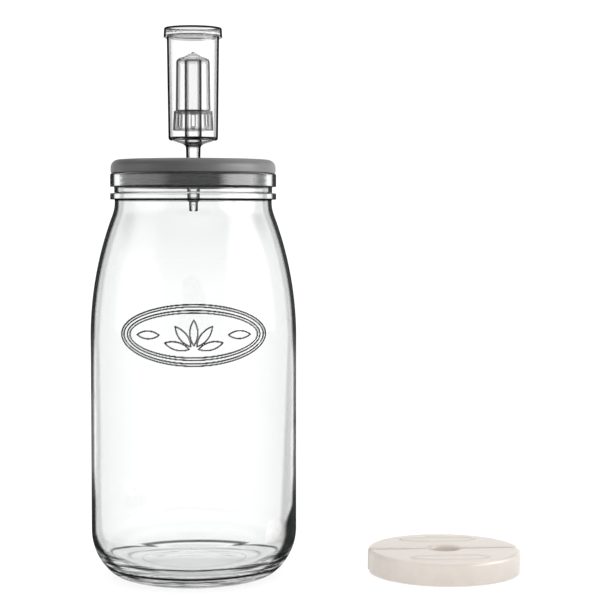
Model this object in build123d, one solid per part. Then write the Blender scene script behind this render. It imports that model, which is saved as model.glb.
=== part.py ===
from build123d import *
import math
import os

# Fermentation jar with airlock: a three litre glass jar, a push-in silicone lid, a three-piece
# water airlock standing in the lid's centre hole, and two half-disc ceramic pressing weights.
# Lengths are in millimetres, +Z is up. The origin is the middle of the jar's foot, on the
# surface that it stands on. The jar's raised ornament faces -Y.

# Shared values
overrun = 2.0

# Jar body
body_radius = 68.8
neck_radius = 52.3
glass_wall = 2.9
heel_reach = 25.3
foot_width = 7.5
push_up = 4.0
heel_low_radius = 19.5
heel_high_radius = 36.5
shoulder_radius = 232.0
neck_curve_radius = 25.0
neck_height = 251.5
floor_thickness = 9.8
floor_crown = 1.2
inner_heel_radius = 21.0

# Jar finish: a bead, a groove and a plain ring with the rim on top
neck_straight = 1.5
bead_height = 4.3
bead_reach = 3.0
groove_height = 4.1
groove_reach = 0.3
ring_height = 9.2
rim_outer_rounding = 1.5
rim_inner_rounding = 1.2
finish_rounding = 0.7

# Raised ornament on the jar's front: two oval lines round a fan of leaves and two side leaves
oval_width = 92.0
oval_height = 39.0
oval_line = 1.5
oval_line_gap = 2.2
oval_inner_line = 1.1
ornament_relief = 0.7
ornament_height = 167.0
leaf_width = 5.0
fan_leaf_count = 5
fan_leaf_angle = 38.0
fan_leaf_length = 16.0
fan_root = 3.0
fan_drop = 9.5
side_leaf_length = 14.0
side_leaf_place = 29.0

# Silicone lid
flange_inset = 0.3
flange_height = 9.0
flange_top_rounding = 5.5
flange_edge_rounding = 0.8
disc_thickness = 5.0
plug_depth = 10.0
plug_gap = 1.8
plug_wall = 4.8
plug_rounding = 1.0
rib_clearance = 0.1
rib_count = 3
rib_height = 2.2
rib_rounding = 0.4
boss_radius = 11.0
boss_depth = 7.0
boss_rounding = 1.2

# Airlock stem, from the lid's top upwards and downwards
stem_above_lid = 9.6
stem_top_radius = 4.95
stem_low_radius = 4.05
stem_length = 37.6
stem_wall = 1.3
stem_clearance = 0.05
stem_step_rounding = 0.8
tip_radius = 3.0
tip_bore_radius = 1.9
tip_length = 7.0
tip_rounding = 0.6
tip_slot_width = 1.6
tip_slot_depth = 4.6

# Airlock chamber
chamber_top_radius = 17.4
chamber_low_radius = 16.5
chamber_wall = 1.3
chamber_length = 69.3
chamber_corner_rounding = 2.2
cone_height = 3.4
cone_stem_rounding = 2.6
floor_rounding = 0.9
chamber_rim_rounding = 0.4
standpipe_radius = 5.65
standpipe_bore_radius = 4.35
standpipe_height = 55.5
standpipe_rounding = 0.35

# Bubbler: the cup that stands upside down over the standpipe
bubbler_wall = 1.2
skirt_gap = 1.7
skirt_height = 12.9
skirt_taper = 0.7
skirt_step = 1.2
skirt_rounding = 0.5
bubbler_taper = 0.45
bubbler_body_height = 34.1
bubbler_shoulder_rise = 0.3
bubbler_shoulder_rounding = 3.3
bubbler_inner_rounding = 2.1
bubbler_cone_radius = 5.8
bubbler_cone_rise = 2.1
bubbler_tip_rise = 5.2
bubbler_edge_rounding = 0.3
skirt_slot_count = 8
skirt_slot_width = 2.4
skirt_slot_height = 8.6
skirt_band_height = 2.3

# Airlock cap
cap_gap = 0.9
cap_wall = 1.2
cap_draft = 0.4
cap_skirt = 1.6
cap_disc_thickness = 1.3
cap_rim_height = 3.8
cap_rim_rounding = 0.5
cap_ring_clearance = 0.3
cap_ring_depth = 2.1
vent_count = 4
vent_radius = 0.9
vent_ring_radius = 10.0

# Pressing weights: two half discs with a finger notch, lying flat beside the jar
weight_radius = 52.0
weight_thickness = 16.0
weight_gap = 4.0
weight_corner_radius = 4.0
notch_radius = 10.4
notch_corner_radius = 3.0
weight_top_rounding = 2.5
weight_low_rounding = 1.5
weight_from_jar = 49.2
weight_oval_width = 52.0
weight_oval_height = 16.0
weight_oval_line = 1.2
weight_oval_relief = 0.7

# Heights and radii that follow
foot_radius = body_radius - heel_reach
bead_low = neck_height + neck_straight
groove_low = bead_low + bead_height
ring_low = groove_low + groove_height
rim_height = ring_low + ring_height
bore_radius = neck_radius - glass_wall
lid_top = rim_height + flange_height
stem_top = lid_top + stem_above_lid
stem_low = stem_top - stem_length
tip_low = stem_low - tip_length
chamber_low = stem_top + cone_height
chamber_rim = chamber_low + chamber_length
standpipe_base = chamber_low - cone_height + chamber_wall
standpipe_top = standpipe_base + standpipe_height
bubbler_step = standpipe_top - bubbler_body_height
bubbler_low = bubbler_step - skirt_height
skirt_low_radius = chamber_low_radius - chamber_wall - skirt_gap
skirt_top_radius = skirt_low_radius - skirt_taper
bubbler_low_radius = skirt_top_radius - skirt_step
bubbler_top_radius = bubbler_low_radius - bubbler_taper
weight_x = body_radius + weight_from_jar + weight_radius


def turned(*edges):
    """Solid turned about the Z axis from edges that close an outline of radius and height."""
    return Part() + revolve(Plane.XZ * Face(Wire(edges)), Axis.Z)


def turned_corners(*corners):
    """Solid turned about the Z axis from corners of radius, height and rounding."""
    places = [(radius, height) for radius, height, rounding in corners]
    roundings = [rounding for radius, height, rounding in corners]
    outline = FilletPolyline(*places, radius=roundings, close=True)
    return turned(*outline.edges())


def crown(top, edge_radius, rise):
    """Arc that is level on the axis at height top and falls by rise at edge_radius."""
    radius = (edge_radius**2 + rise**2) / (2 * rise)
    return JernArc((0, top), (1, 0), radius, -math.degrees(math.asin(edge_radius / radius)))


def shoulder_angle():
    """Turn of the two shoulder arcs, which lead from the body's radius in to the neck's."""
    return math.acos(1 - (body_radius - neck_radius) / (shoulder_radius + neck_curve_radius))


def shoulder_height():
    """Height where the straight body ends and the shoulder begins."""
    return neck_height - (shoulder_radius + neck_curve_radius) * math.sin(shoulder_angle())


def heel_angle():
    """Turn of the heel's lower arc, which leaves the upper one just the way to the body."""
    share = (heel_high_radius - heel_reach) / (heel_high_radius - heel_low_radius)
    return math.degrees(math.asin(share))


def jar_outside():
    """Closed outside form of the jar, filled to the axis."""
    turn = math.degrees(shoulder_angle())
    foot = foot_radius - foot_width
    under = crown(push_up, foot, push_up)
    ring = Line(under @ 1, (foot_radius, 0))
    heel = JernArc(ring @ 1, (1, 0), heel_low_radius, heel_angle())
    side = JernArc(heel @ 1, heel % 1, heel_high_radius, 90 - heel_angle())
    body = Line(side @ 1, (body_radius, shoulder_height()))
    shoulder = JernArc(body @ 1, (0, 1), shoulder_radius, turn)
    neck = JernArc(shoulder @ 1, shoulder % 1, neck_curve_radius, -turn)
    bead_radius = neck_radius + bead_reach
    groove_radius = neck_radius + groove_reach
    finish = FilletPolyline(
        neck @ 1,
        (neck_radius, bead_low),
        (bead_radius, bead_low),
        (bead_radius, groove_low),
        (groove_radius, groove_low),
        (groove_radius, ring_low),
        (bead_radius, ring_low),
        (bead_radius, rim_height),
        (0, rim_height),
        radius=[finish_rounding] * 6 + [rim_outer_rounding],
    )
    axis = Line(finish @ 1, (0, push_up))
    return turned(under, ring, heel, side, body, shoulder, neck, *finish.edges(), axis)


def jar_hollow():
    """Inside of the jar, from the crowned floor to the rounded rim."""
    turn = math.degrees(shoulder_angle())
    inner_radius = body_radius - glass_wall
    floor = crown(floor_thickness + floor_crown, inner_radius - inner_heel_radius, floor_crown)
    heel = JernArc(floor @ 1, (1, 0), inner_heel_radius, 90)
    body = Line(heel @ 1, (inner_radius, shoulder_height()))
    shoulder = JernArc(body @ 1, (0, 1), shoulder_radius - glass_wall, turn)
    neck = JernArc(shoulder @ 1, shoulder % 1, neck_curve_radius + glass_wall, -turn)
    rim_start = rim_height - rim_inner_rounding
    bore = Line(neck @ 1, (bore_radius, rim_start))
    rim = JernArc(bore @ 1, (0, 1), rim_inner_rounding, -90)
    above = rim_height + overrun
    lip = Line(rim @ 1, (bore_radius + rim_inner_rounding, above))
    top = Line(lip @ 1, (0, above))
    axis = Line(top @ 1, floor @ 0)
    return turned(floor, heel, body, shoulder, neck, bore, rim, lip, top, axis)


def body_envelope(offset):
    """Filled body and shoulder, with the outside moved out by offset."""
    low = ornament_height - oval_height
    turn = math.degrees(shoulder_angle())
    base = Line((0, low), (body_radius + offset, low))
    body = Line(base @ 1, (body_radius + offset, shoulder_height()))
    shoulder = JernArc(body @ 1, (0, 1), shoulder_radius + offset, turn)
    top = Line(shoulder @ 1, (0, (shoulder @ 1).Y))
    return turned(base, body, shoulder, top, Line(top @ 1, (0, low)))


def oval_ring(width, height, line):
    """Flat oval ring of a steady line width."""
    return Ellipse(width / 2, height / 2) - Ellipse(width / 2 - line, height / 2 - line)


def leaf(length):
    """Flat upright leaf with two pointed ends, where two equal circles overlap."""
    radius = (length**2 + leaf_width**2) / (4 * leaf_width)
    side = Pos(radius - leaf_width / 2, 0) * Circle(radius)
    return side & Rot(0, 0, 180) * side


def ornament_plan():
    """Flat ornament: two oval lines, a fan of leaves inside them and a leaf at each side."""
    inset = 2 * (oval_line + oval_line_gap)
    plan = oval_ring(oval_width, oval_height, oval_line)
    plan += oval_ring(oval_width - inset, oval_height - inset, oval_inner_line)
    fan_leaf = Pos(0, fan_root + fan_leaf_length / 2) * leaf(fan_leaf_length)
    for number in range(fan_leaf_count):
        turn = fan_leaf_angle * (number - (fan_leaf_count - 1) / 2)
        plan += Pos(0, -fan_drop) * Rot(0, 0, turn) * fan_leaf
    for side in (-1, 1):
        plan += Pos(side * side_leaf_place, 0) * Rot(0, 0, 90) * leaf(side_leaf_length)
    return plan


def jar_ornament():
    """Raised ornament on the jar's front, which follows the glass."""
    plane = Plane(origin=(0, 0, ornament_height), x_dir=(1, 0, 0), z_dir=(0, -1, 0))
    prism = extrude(plane * ornament_plan(), body_radius + overrun)
    return prism & (body_envelope(ornament_relief) - body_envelope(-glass_wall / 2))


def glass_jar():
    """Jar of one wall, with its heavier floor, its finish and the raised ornament."""
    return jar_outside() - jar_hollow() + jar_ornament()


def stem_radius_at(height):
    """Outside radius of the tapered stem at a height."""
    share = (height - stem_low) / stem_length
    return stem_low_radius + share * (stem_top_radius - stem_low_radius)


def silicone_lid():
    """Lid with a rounded flange on the rim, a ribbed plug in the neck and a boss for the stem."""
    plug_radius = bore_radius - plug_gap
    rib_radius = bore_radius - rib_clearance
    plug_low = rim_height - plug_depth
    disc_low = lid_top - disc_thickness
    boss_low = disc_low - boss_depth
    flange_radius = neck_radius + bead_reach - flange_inset
    pitch = plug_depth / rib_count
    ribs = []
    for number in range(rib_count):
        middle = rim_height - pitch * (number + 0.5)
        ribs.append((plug_radius, middle + rib_height / 2, 0))
        ribs.append((rib_radius, middle + rib_height / 4, rib_rounding))
        ribs.append((rib_radius, middle - rib_height / 4, rib_rounding))
        ribs.append((plug_radius, middle - rib_height / 2, 0))
    return turned_corners(
        (stem_radius_at(lid_top) + stem_clearance, lid_top, 0),
        (flange_radius, lid_top, flange_top_rounding),
        (flange_radius, rim_height, flange_edge_rounding),
        (plug_radius, rim_height, 0),
        *ribs,
        (plug_radius, plug_low, 0),
        (plug_radius - plug_wall, plug_low, plug_rounding),
        (plug_radius - plug_wall, disc_low, plug_rounding),
        (boss_radius, disc_low, boss_rounding),
        (boss_radius, boss_low, boss_rounding),
        (stem_radius_at(boss_low) + stem_clearance, boss_low, 0),
    )


def chamber_radius_at(height):
    """Outside radius of the chamber's tapered wall at a height."""
    share = (height - chamber_low) / chamber_length
    return chamber_low_radius + share * (chamber_top_radius - chamber_low_radius)


def airlock_chamber():
    """Water chamber with its standpipe, and the hollow stem that ends in a slotted tip."""
    floor = chamber_low + chamber_wall
    body = turned_corners(
        (tip_bore_radius, tip_low, 0),
        (tip_radius, tip_low, tip_rounding),
        (tip_radius, stem_low, 0),
        (stem_low_radius, stem_low, stem_step_rounding),
        (stem_top_radius, stem_top, cone_stem_rounding),
        (chamber_low_radius, chamber_low, chamber_corner_rounding),
        (chamber_top_radius, chamber_rim, chamber_rim_rounding),
        (chamber_top_radius - chamber_wall, chamber_rim, chamber_rim_rounding),
        (chamber_radius_at(floor) - chamber_wall, floor, floor_rounding),
        (standpipe_radius, standpipe_base, floor_rounding),
        (standpipe_radius, standpipe_top, standpipe_rounding),
        (standpipe_bore_radius, standpipe_top, standpipe_rounding),
        (standpipe_bore_radius, standpipe_base, 0),
        (stem_top_radius - stem_wall, stem_top, 0),
        (stem_low_radius - stem_wall, stem_low + 2 * stem_wall, 0),
        (tip_bore_radius, stem_low + stem_wall, 0),
    )
    slot_height = tip_slot_depth + overrun
    slot = Pos(0, 0, tip_low + tip_slot_depth - slot_height / 2) * Box(
        2 * (tip_radius + overrun), tip_slot_width, slot_height
    )
    return body - slot - Rot(0, 0, 90) * slot


def airlock_bubbler():
    """Cup upside down over the standpipe, on whose top its ceiling rests, with a slotted skirt."""
    cup = turned_corners(
        (0, standpipe_top + bubbler_tip_rise, 0),
        (bubbler_cone_radius, standpipe_top + bubbler_cone_rise, bubbler_edge_rounding),
        (bubbler_top_radius, standpipe_top + bubbler_shoulder_rise, bubbler_shoulder_rounding),
        (bubbler_low_radius, bubbler_step, bubbler_edge_rounding),
        (skirt_top_radius, bubbler_step, skirt_rounding),
        (skirt_low_radius, bubbler_low, bubbler_edge_rounding),
        (skirt_low_radius - bubbler_wall, bubbler_low, bubbler_edge_rounding),
        (skirt_top_radius - bubbler_wall, bubbler_step - bubbler_wall, skirt_rounding),
        (bubbler_low_radius - bubbler_wall, bubbler_step - bubbler_wall, bubbler_edge_rounding),
        (bubbler_top_radius - bubbler_wall, standpipe_top, bubbler_inner_rounding),
        (0, standpipe_top, 0),
    )
    slot_middle = bubbler_low + skirt_band_height + skirt_slot_height / 2
    reach = skirt_low_radius + overrun
    slot = Pos(reach / 2, 0, slot_middle) * Box(reach, skirt_slot_width, skirt_slot_height)
    slots = [Rot(0, 0, 360 / skirt_slot_count * number) * slot for number in range(skirt_slot_count)]
    return cup - slots


def airlock_cap():
    """Dished cap: its disc lies on the chamber's rim between a skirt and a centring ring."""
    skirt_low = chamber_rim - cap_skirt
    disc_top = chamber_rim + cap_disc_thickness
    cap_top = disc_top + cap_rim_height
    skirt_inside = chamber_top_radius + cap_gap
    cap_low_radius = skirt_inside + cap_wall
    cap_top_radius = cap_low_radius - cap_draft
    ring_outside = chamber_top_radius - chamber_wall - cap_ring_clearance
    ring_inside = ring_outside - cap_wall
    ring_low = chamber_rim - cap_ring_depth
    cap = turned_corners(
        (cap_low_radius, skirt_low, 0),
        (cap_top_radius, cap_top, cap_rim_rounding),
        (cap_top_radius - cap_wall, cap_top, cap_rim_rounding),
        (cap_top_radius - cap_wall, disc_top, cap_rim_rounding),
        (0, disc_top, 0),
        (0, chamber_rim, 0),
        (ring_inside, chamber_rim, 0),
        (ring_inside, ring_low, 0),
        (ring_outside, ring_low, 0),
        (ring_outside, chamber_rim, 0),
        (skirt_inside, chamber_rim, 0),
        (skirt_inside, skirt_low, 0),
    )
    vent = Pos(vent_ring_radius, 0, disc_top) * Cylinder(vent_radius, 2 * (cap_disc_thickness + overrun))
    vents = [Rot(0, 0, 360 / vent_count * (number + 0.5)) * vent for number in range(vent_count)]
    return cap - vents


def weight_plan():
    """Plan of one half disc, with a notch for a finger and rounded corners."""
    half = Pos(0, weight_radius + weight_gap / 2) * Rectangle(2 * weight_radius + overrun, 2 * weight_radius)
    plan = (Circle(weight_radius) - Circle(notch_radius)) & half
    inner = [corner for corner in plan.vertices() if abs(corner.X) < weight_radius / 2]
    plan = fillet(inner, notch_corner_radius)
    outer = [corner for corner in plan.vertices() if abs(corner.X) > weight_radius / 2]
    return fillet(outer, weight_corner_radius)


def pressing_weight(turn):
    """One half disc with soft edges and a plain raised oval on its top."""
    half = extrude(weight_plan(), weight_thickness)
    half = fillet(half.edges().group_by(Axis.Z)[-1], weight_top_rounding)
    half = fillet(half.edges().group_by(Axis.Z)[0], weight_low_rounding)
    oval_place = (weight_radius + notch_radius) / 2
    ring = oval_ring(weight_oval_width, weight_oval_height, weight_oval_line)
    sunk = weight_thickness - weight_oval_relief
    half += Pos(0, oval_place, sunk) * extrude(ring, 2 * weight_oval_relief)
    return Pos(weight_x, 0) * Rot(0, 0, turn) * half


pieces = {
    "glass_jar": glass_jar(),
    "silicone_lid": silicone_lid(),
    "airlock_chamber": airlock_chamber(),
    "airlock_bubbler": airlock_bubbler(),
    "airlock_cap": airlock_cap(),
    "pressing_weight_back": pressing_weight(0),
    "pressing_weight_front": pressing_weight(180),
}

os.makedirs("parts", exist_ok=True)
for name, piece in pieces.items():
    export_step(piece, f"parts/{name}.step")
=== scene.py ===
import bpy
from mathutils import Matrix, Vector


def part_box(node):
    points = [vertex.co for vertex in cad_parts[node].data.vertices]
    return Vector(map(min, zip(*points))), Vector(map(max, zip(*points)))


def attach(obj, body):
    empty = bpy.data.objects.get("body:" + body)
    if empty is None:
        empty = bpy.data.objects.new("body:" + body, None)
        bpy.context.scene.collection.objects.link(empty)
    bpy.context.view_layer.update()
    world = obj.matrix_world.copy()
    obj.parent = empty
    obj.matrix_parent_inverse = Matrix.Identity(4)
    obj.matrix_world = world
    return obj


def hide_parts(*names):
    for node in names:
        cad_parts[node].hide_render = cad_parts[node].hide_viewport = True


bl_info = {
    "name": "Fermentation jar with airlock",
    "version": (1, 0, 0),
    "blender": (4, 5, 0),
    "location": "3D View > Sidebar > Fermentation jar",
    "description": "Builds a glass fermentation jar with its lid, water airlock and pressing weights",
    "category": "Add Mesh",
}

import math

import bmesh
import bpy
import numpy as np
from bpy.props import FloatProperty, FloatVectorProperty, IntProperty, PointerProperty
from bpy.types import Operator, Panel, PropertyGroup
from mathutils import Euler, Vector

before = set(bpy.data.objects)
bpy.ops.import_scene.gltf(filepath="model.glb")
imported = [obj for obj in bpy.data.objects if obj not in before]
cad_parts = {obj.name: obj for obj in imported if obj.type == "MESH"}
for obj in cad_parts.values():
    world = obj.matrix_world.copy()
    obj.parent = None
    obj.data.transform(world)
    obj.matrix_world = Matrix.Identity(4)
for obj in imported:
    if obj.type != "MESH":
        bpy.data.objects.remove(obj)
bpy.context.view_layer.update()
jar_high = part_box("glass_jar")[1]
lid_low, lid_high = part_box("silicone_lid")
chamber_low, chamber_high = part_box("airlock_chamber")
bubbler_low, bubbler_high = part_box("airlock_bubbler")
cap_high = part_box("airlock_cap")[1]

MM = 0.001
FULL_TURN = 2 * math.pi
QUARTER_TURN = math.pi / 2
FRONT = -QUARTER_TURN

# How finely curves are divided, and when two points are one
ARC_TURN = math.radians(11)
ARC_STEP = 2.4 * MM
HOLD_STEP = 0.4 * MM
LONG_STRETCH = 5 * HOLD_STEP
LEAST_TURN = 1e-4
CREASE = math.radians(38)
WELD = 0.001 * MM


def length(name, description, default):
    """Property for a length in metres."""
    return FloatProperty(name=name, description=description, default=default, min=0.0, unit="LENGTH")


def quantity(name, description, default, least=1):
    """Property for a number of like parts."""
    return IntProperty(name=name, description=description, default=default, min=least)


def brightness(name, description, default):
    """Property for the strength of a light."""
    return FloatProperty(name=name, description=description, default=default, min=0.0)


def colour(name, description, default):
    """Property for a colour."""
    return FloatVectorProperty(
        name=name, description=description, default=default, size=3, min=0.0, max=1.0, subtype="COLOR"
    )


class JarSettings(PropertyGroup):
    """Sizes and tint of the glass jar."""

    body_radius: length("Body radius", "Outside radius of the straight body", jar_high.x)
    rim_height: length("Rim height", "Height of the rim above the foot", jar_high.z)
    neck_radius: length("Neck radius", "Outside radius of the neck", 52.3 * MM)
    wall: length("Wall", "Thickness of the glass", 2.9 * MM)
    heel_reach: length("Heel reach", "How far the heel reaches in from the body to the foot", 25.3 * MM)
    foot_width: length("Foot width", "Width of the ring that the jar stands on", 7.5 * MM)
    push_up: length("Push-up", "Rise of the middle of the foot", 4.0 * MM)
    heel_low_radius: length("Heel, lower radius", "Radius of the heel's lower arc", 19.5 * MM)
    heel_high_radius: length("Heel, upper radius", "Radius of the heel's upper arc", 36.5 * MM)
    shoulder_radius: length("Shoulder radius", "Radius of the long shoulder arc", 232.0 * MM)
    neck_curve_radius: length("Neck curve", "Radius of the arc from shoulder to neck", 25.0 * MM)
    floor_thickness: length("Floor", "Thickness of the glass at the edge of the floor", 9.8 * MM)
    floor_crown: length("Floor crown", "Rise of the floor's middle inside", 1.2 * MM)
    inner_heel_radius: length("Inner heel", "Radius between the floor and the wall inside", 21.0 * MM)
    glass: colour("Glass", "Tint of the glass seen straight on", (0.94, 0.945, 0.945))
    # Painted shade: the near-black colour mixed in where the glass is seen along its surface
    glass_edge_shade: colour("Glass edge", "Tint of the glass seen along its surface", (0.006, 0.007, 0.007))


class OrnamentSettings(PropertyGroup):
    """Sizes of the raised ornament on the jar's front."""

    width: length("Width", "Width of the outer oval", 92.0 * MM)
    height: length("Height", "Height of the outer oval", 39.0 * MM)
    line: length("Line", "Width of the outer oval's line", 1.5 * MM)
    line_gap: length("Gap", "Gap between the two oval lines", 2.2 * MM)
    inner_line: length("Inner line", "Width of the inner oval's line", 1.6 * MM)
    relief: length("Relief", "Height of the ornament above the glass", 0.7 * MM)
    place: length("Place", "Height of the ornament's centre above the foot", 167.0 * MM)
    leaf_width: length("Leaf width", "Width of each leaf", 5.0 * MM)
    fan_leaf_length: length("Fan leaf", "Length of each leaf in the fan", 16.0 * MM)
    side_leaf_length: length("Side leaf", "Length of the leaf at each side", 14.0 * MM)
    fan_leaf_count: quantity("Leaves", "Leaves in the fan", 5)


class LidSettings(PropertyGroup):
    """Sizes and colour of the silicone lid."""

    flange_radius: length("Flange radius", "Outside radius of the flange on the rim", lid_high.x)
    top: length("Top", "Height of the lid's top above the foot", lid_high.z)
    plug_low: length("Plug end", "Height of the plug's lower edge above the foot", lid_low.z)
    flange_rounding: length("Flange rounding", "Rounding of the flange's top edge", 5.5 * MM)
    disc_thickness: length("Disc", "Thickness of the lid's disc", 5.0 * MM)
    plug_gap: length("Plug gap", "Gap between the plug and the jar's bore", 1.8 * MM)
    plug_wall: length("Plug wall", "Thickness of the plug's wall", 4.8 * MM)
    rib_height: length("Rib height", "Height of each sealing rib", 2.2 * MM)
    rib_count: quantity("Ribs", "Sealing ribs round the plug", 3)
    boss_radius: length("Boss radius", "Radius of the boss round the stem's hole", 11.0 * MM)
    boss_depth: length("Boss depth", "Depth of the boss under the disc", 7.0 * MM)
    silicone: colour("Silicone", "Colour of the silicone", (0.05, 0.05, 0.051))


class AirlockSettings(PropertyGroup):
    """Sizes and tint of the three pieces of the airlock."""

    tip_low: length("Tip end", "Height of the stem's tip above the foot", chamber_low.z)
    chamber_rim: length("Chamber rim", "Height of the chamber's rim above the foot", chamber_high.z)
    chamber_radius: length("Chamber radius", "Outside radius at the chamber's rim", 17.4 * MM)
    chamber_low_radius: length("Chamber foot", "Outside radius at the chamber's foot", 16.5 * MM)
    chamber_wall: length("Chamber wall", "Thickness of the chamber's wall", 1.3 * MM)
    stem_top_radius: length("Stem top", "Radius of the stem under the chamber", 4.95 * MM)
    stem_low_radius: length("Stem end", "Radius of the stem at its lower end", 4.05 * MM)
    standpipe_radius: length("Standpipe", "Outside radius of the standpipe", 5.65 * MM)
    standpipe_bore: length("Standpipe bore", "Bore radius of the standpipe", 4.35 * MM)
    bubbler_low: length("Bubbler end", "Height of the bubbler's skirt above the foot", bubbler_low.z)
    bubbler_tip: length("Bubbler tip", "Height of the bubbler's point above the foot", bubbler_high.z)
    skirt_slot_count: quantity("Slots", "Slots in the skirt", 8, 2)
    cap_radius: length("Cap radius", "Outside radius of the cap's skirt", cap_high.x)
    cap_top: length("Cap top", "Height of the cap's rim above the foot", cap_high.z)
    plastic: colour("Plastic", "Tint of the plastic seen straight on", (0.965, 0.965, 0.965))
    # Painted shade: the near-black colour mixed in where the plastic is seen along its surface
    plastic_edge_shade: colour("Plastic edge", "Tint of it seen along its surface", (0.004, 0.004, 0.005))


class WeightSettings(PropertyGroup):
    """Sizes and colour of the two pressing weights."""

    radius: length("Radius", "Radius of the disc that the two halves make", 52.0 * MM)
    centre: length("Centre", "Distance of the disc's centre from the jar's axis", 170.0 * MM)
    thickness: length("Thickness", "Thickness without the raised line", 16.0 * MM)
    gap: length("Gap", "Gap between the halves", 4.0 * MM)
    corner_radius: length("Corner", "Radius of the outer corners in plan", 4.0 * MM)
    notch_radius: length("Notch", "Radius of the finger notch", 10.4 * MM)
    notch_corner: length("Notch corner", "Radius of the notch's corners in plan", 3.0 * MM)
    top_rounding: length("Top rounding", "Rounding of the top edge", 2.5 * MM)
    low_rounding: length("Low rounding", "Rounding of the lower edge", 1.5 * MM)
    oval_width: length("Oval width", "Width of the raised oval", 52.0 * MM)
    oval_height: length("Oval height", "Height of the raised oval", 16.0 * MM)
    oval_line: length("Oval line", "Width of the oval's line", 1.2 * MM)
    relief: length("Relief", "Height of the raised line", 0.7 * MM)
    ceramic: colour("Ceramic", "Colour of the glaze", (0.70, 0.637, 0.578))


class StageSettings(PropertyGroup):
    """Floor, light and camera."""

    floor: colour("Floor", "Colour of the floor", (0.25, 0.25, 0.25))
    floor_glow: brightness("Floor glow", "Light that the floor gives off", 0.86)
    floor_size: length("Floor size", "Half the width of the floor", 8.0)
    horizon_light: brightness("Horizon", "Light from near the level", 1.14)
    band_light: brightness("Band", "Light from between the level and the zenith", 0.05)
    zenith_light: brightness("Zenith", "Light from above", 1.75)
    room_light: brightness("Room", "Mirrored light of the room", 0.3)
    right_light: brightness("Right softbox", "Mirrored light of the softbox at the right", 9.0)
    left_light: brightness("Left softbox", "Mirrored light of the softbox at the left", 2.2)


# Profiles and grids


def rotated(vector, angles):
    """Plane vector turned by each of the angles: (x cos a - y sin a, x sin a + y cos a)."""
    cosine, sine = np.cos(angles), np.sin(angles)
    x, y = vector
    return np.stack([x * cosine - y * sine, x * sine + y * cosine], axis=1)


def corner_points(before, corner, after, rounding):
    """Points of one corner: the corner itself, or an arc of radius rounding that touches both legs.

    With half the inner angle b, the arc starts rounding / tan(b) from the corner, its centre lies
    rounding / sin(b) along the bisector, and it turns by pi - 2 b in equal steps.
    """
    back = (before - corner) / np.linalg.norm(before - corner)
    ahead = (after - corner) / np.linalg.norm(after - corner)
    half = math.acos(np.clip(back @ ahead, -1, 1)) / 2
    turn = math.pi - 2 * half
    if rounding == 0 or turn < LEAST_TURN:
        return corner[None, :]
    bisector = (back + ahead) / np.linalg.norm(back + ahead)
    centre = corner + bisector * rounding / math.sin(half)
    start = corner + back * rounding / math.tan(half) - centre
    side = np.sign(back[1] * ahead[0] - back[0] * ahead[1])
    steps = max(2, math.ceil(turn / ARC_TURN), math.ceil(turn * rounding / ARC_STEP))
    return centre + rotated(start, side * np.linspace(0, turn, steps + 1))


def outline(corners, loop=False):
    """Outline through corners of (radius, height, rounding), with each rounding as an arc.

    Long straight stretches get two points a short step apart near each end, so that smooth
    shading bends only next to the arcs and marks on them fade out close by.
    """
    places = np.array([corner[:2] for corner in corners], float)
    count = len(places)
    runs = []
    for number, corner in enumerate(corners):
        if not loop and number in (0, count - 1):
            runs.append(places[number][None, :])
            continue
        rounding = corner[2] if len(corner) > 2 else 0
        before, after = places[number - 1], places[(number + 1) % count]
        runs.append(corner_points(before, places[number], after, rounding))
    points = []
    for run, following in zip(runs, runs[1:] + [runs[0]]):
        points.append(run)
        stretch = following[0] - run[-1]
        distance = np.linalg.norm(stretch)
        if distance > LONG_STRETCH and (loop or following is not runs[0]):
            hold = HOLD_STEP / distance
            points.append(run[-1] + stretch * np.array([[hold], [2 * hold], [1 - 2 * hold], [1 - hold]]))
    points = np.concatenate(points)
    kept = np.linalg.norm(np.diff(points, axis=0, prepend=points[-1:]), axis=1) > WELD
    kept[0] = True
    return points[kept]


def refined(points, low, high, spacing):
    """Outline with the stretches that reach between two heights divided, to at most spacing."""
    pieces = []
    for start, end in zip(points[:-1], points[1:]):
        inside = max(start[1], end[1]) > low and min(start[1], end[1]) < high
        parts = math.ceil(np.linalg.norm(end - start) / spacing) if inside else 1
        pieces.append(start + (end - start) * np.arange(parts)[:, None] / parts)
    return np.concatenate(pieces + [points[-1:]])


def even_turns(columns):
    """Angles of evenly spaced columns round the axis, from the front."""
    return FRONT + FULL_TURN * np.arange(columns) / columns


def turned(points, turns):
    """Grid of a surface of revolution: (r cos a, r sin a, z) for outline point (r, z) and angle a."""
    turns = np.broadcast_to(turns, (len(points), np.shape(turns)[-1]))
    radius, height = points[:, :1], points[:, 1:]
    return np.stack([radius * np.cos(turns), radius * np.sin(turns), height + 0 * turns], axis=2)


def grid_quads(rows, columns, loop):
    """Corner numbers of a grid's quads: columns close on themselves, and rows too in a loop."""
    row = np.arange(rows if loop else rows - 1)[:, None]
    column = np.arange(columns)[None, :]
    above, beside = (row + 1) % rows * columns, (column + 1) % columns
    row = row * columns
    return np.stack([row + column, row + beside, above + beside, above + column], axis=2)


def grid_faces(rows, columns, loop):
    """All quads of a grid as a list of faces."""
    return grid_quads(rows, columns, loop).reshape(-1, 4).tolist()


def band_faces(rows, columns, first, last, cells, split):
    """Faces of a turned grid whose front is fine only in the rows from first to last.

    The front has cells of split columns each. In the band every column has its faces, and in the
    other rows a face spans a cell. Where the two meet, a face joins the split + 1 points of the
    band's end to the two of the next row. The columns behind the front serve every row.
    """
    quads = grid_quads(rows, columns, False)
    starts = split * np.arange(cells)[:, None]
    outside = np.setdiff1d(np.arange(rows - 1), np.arange(first - 1, last + 1))[:, None, None]
    parts = [
        quads[:, cells * split:],
        quads[first:last, :cells * split],
        outside * columns + starts + np.array([0, split, columns + split, columns]),
        (first - 1) * columns + starts + np.array([0, split, *(columns + np.arange(split, -1, -1))]),
        last * columns + starts + np.array([*range(split + 1), columns + split, columns]),
    ]
    return [face for part in parts for face in part.reshape(-1, part.shape[-1]).tolist()]


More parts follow.
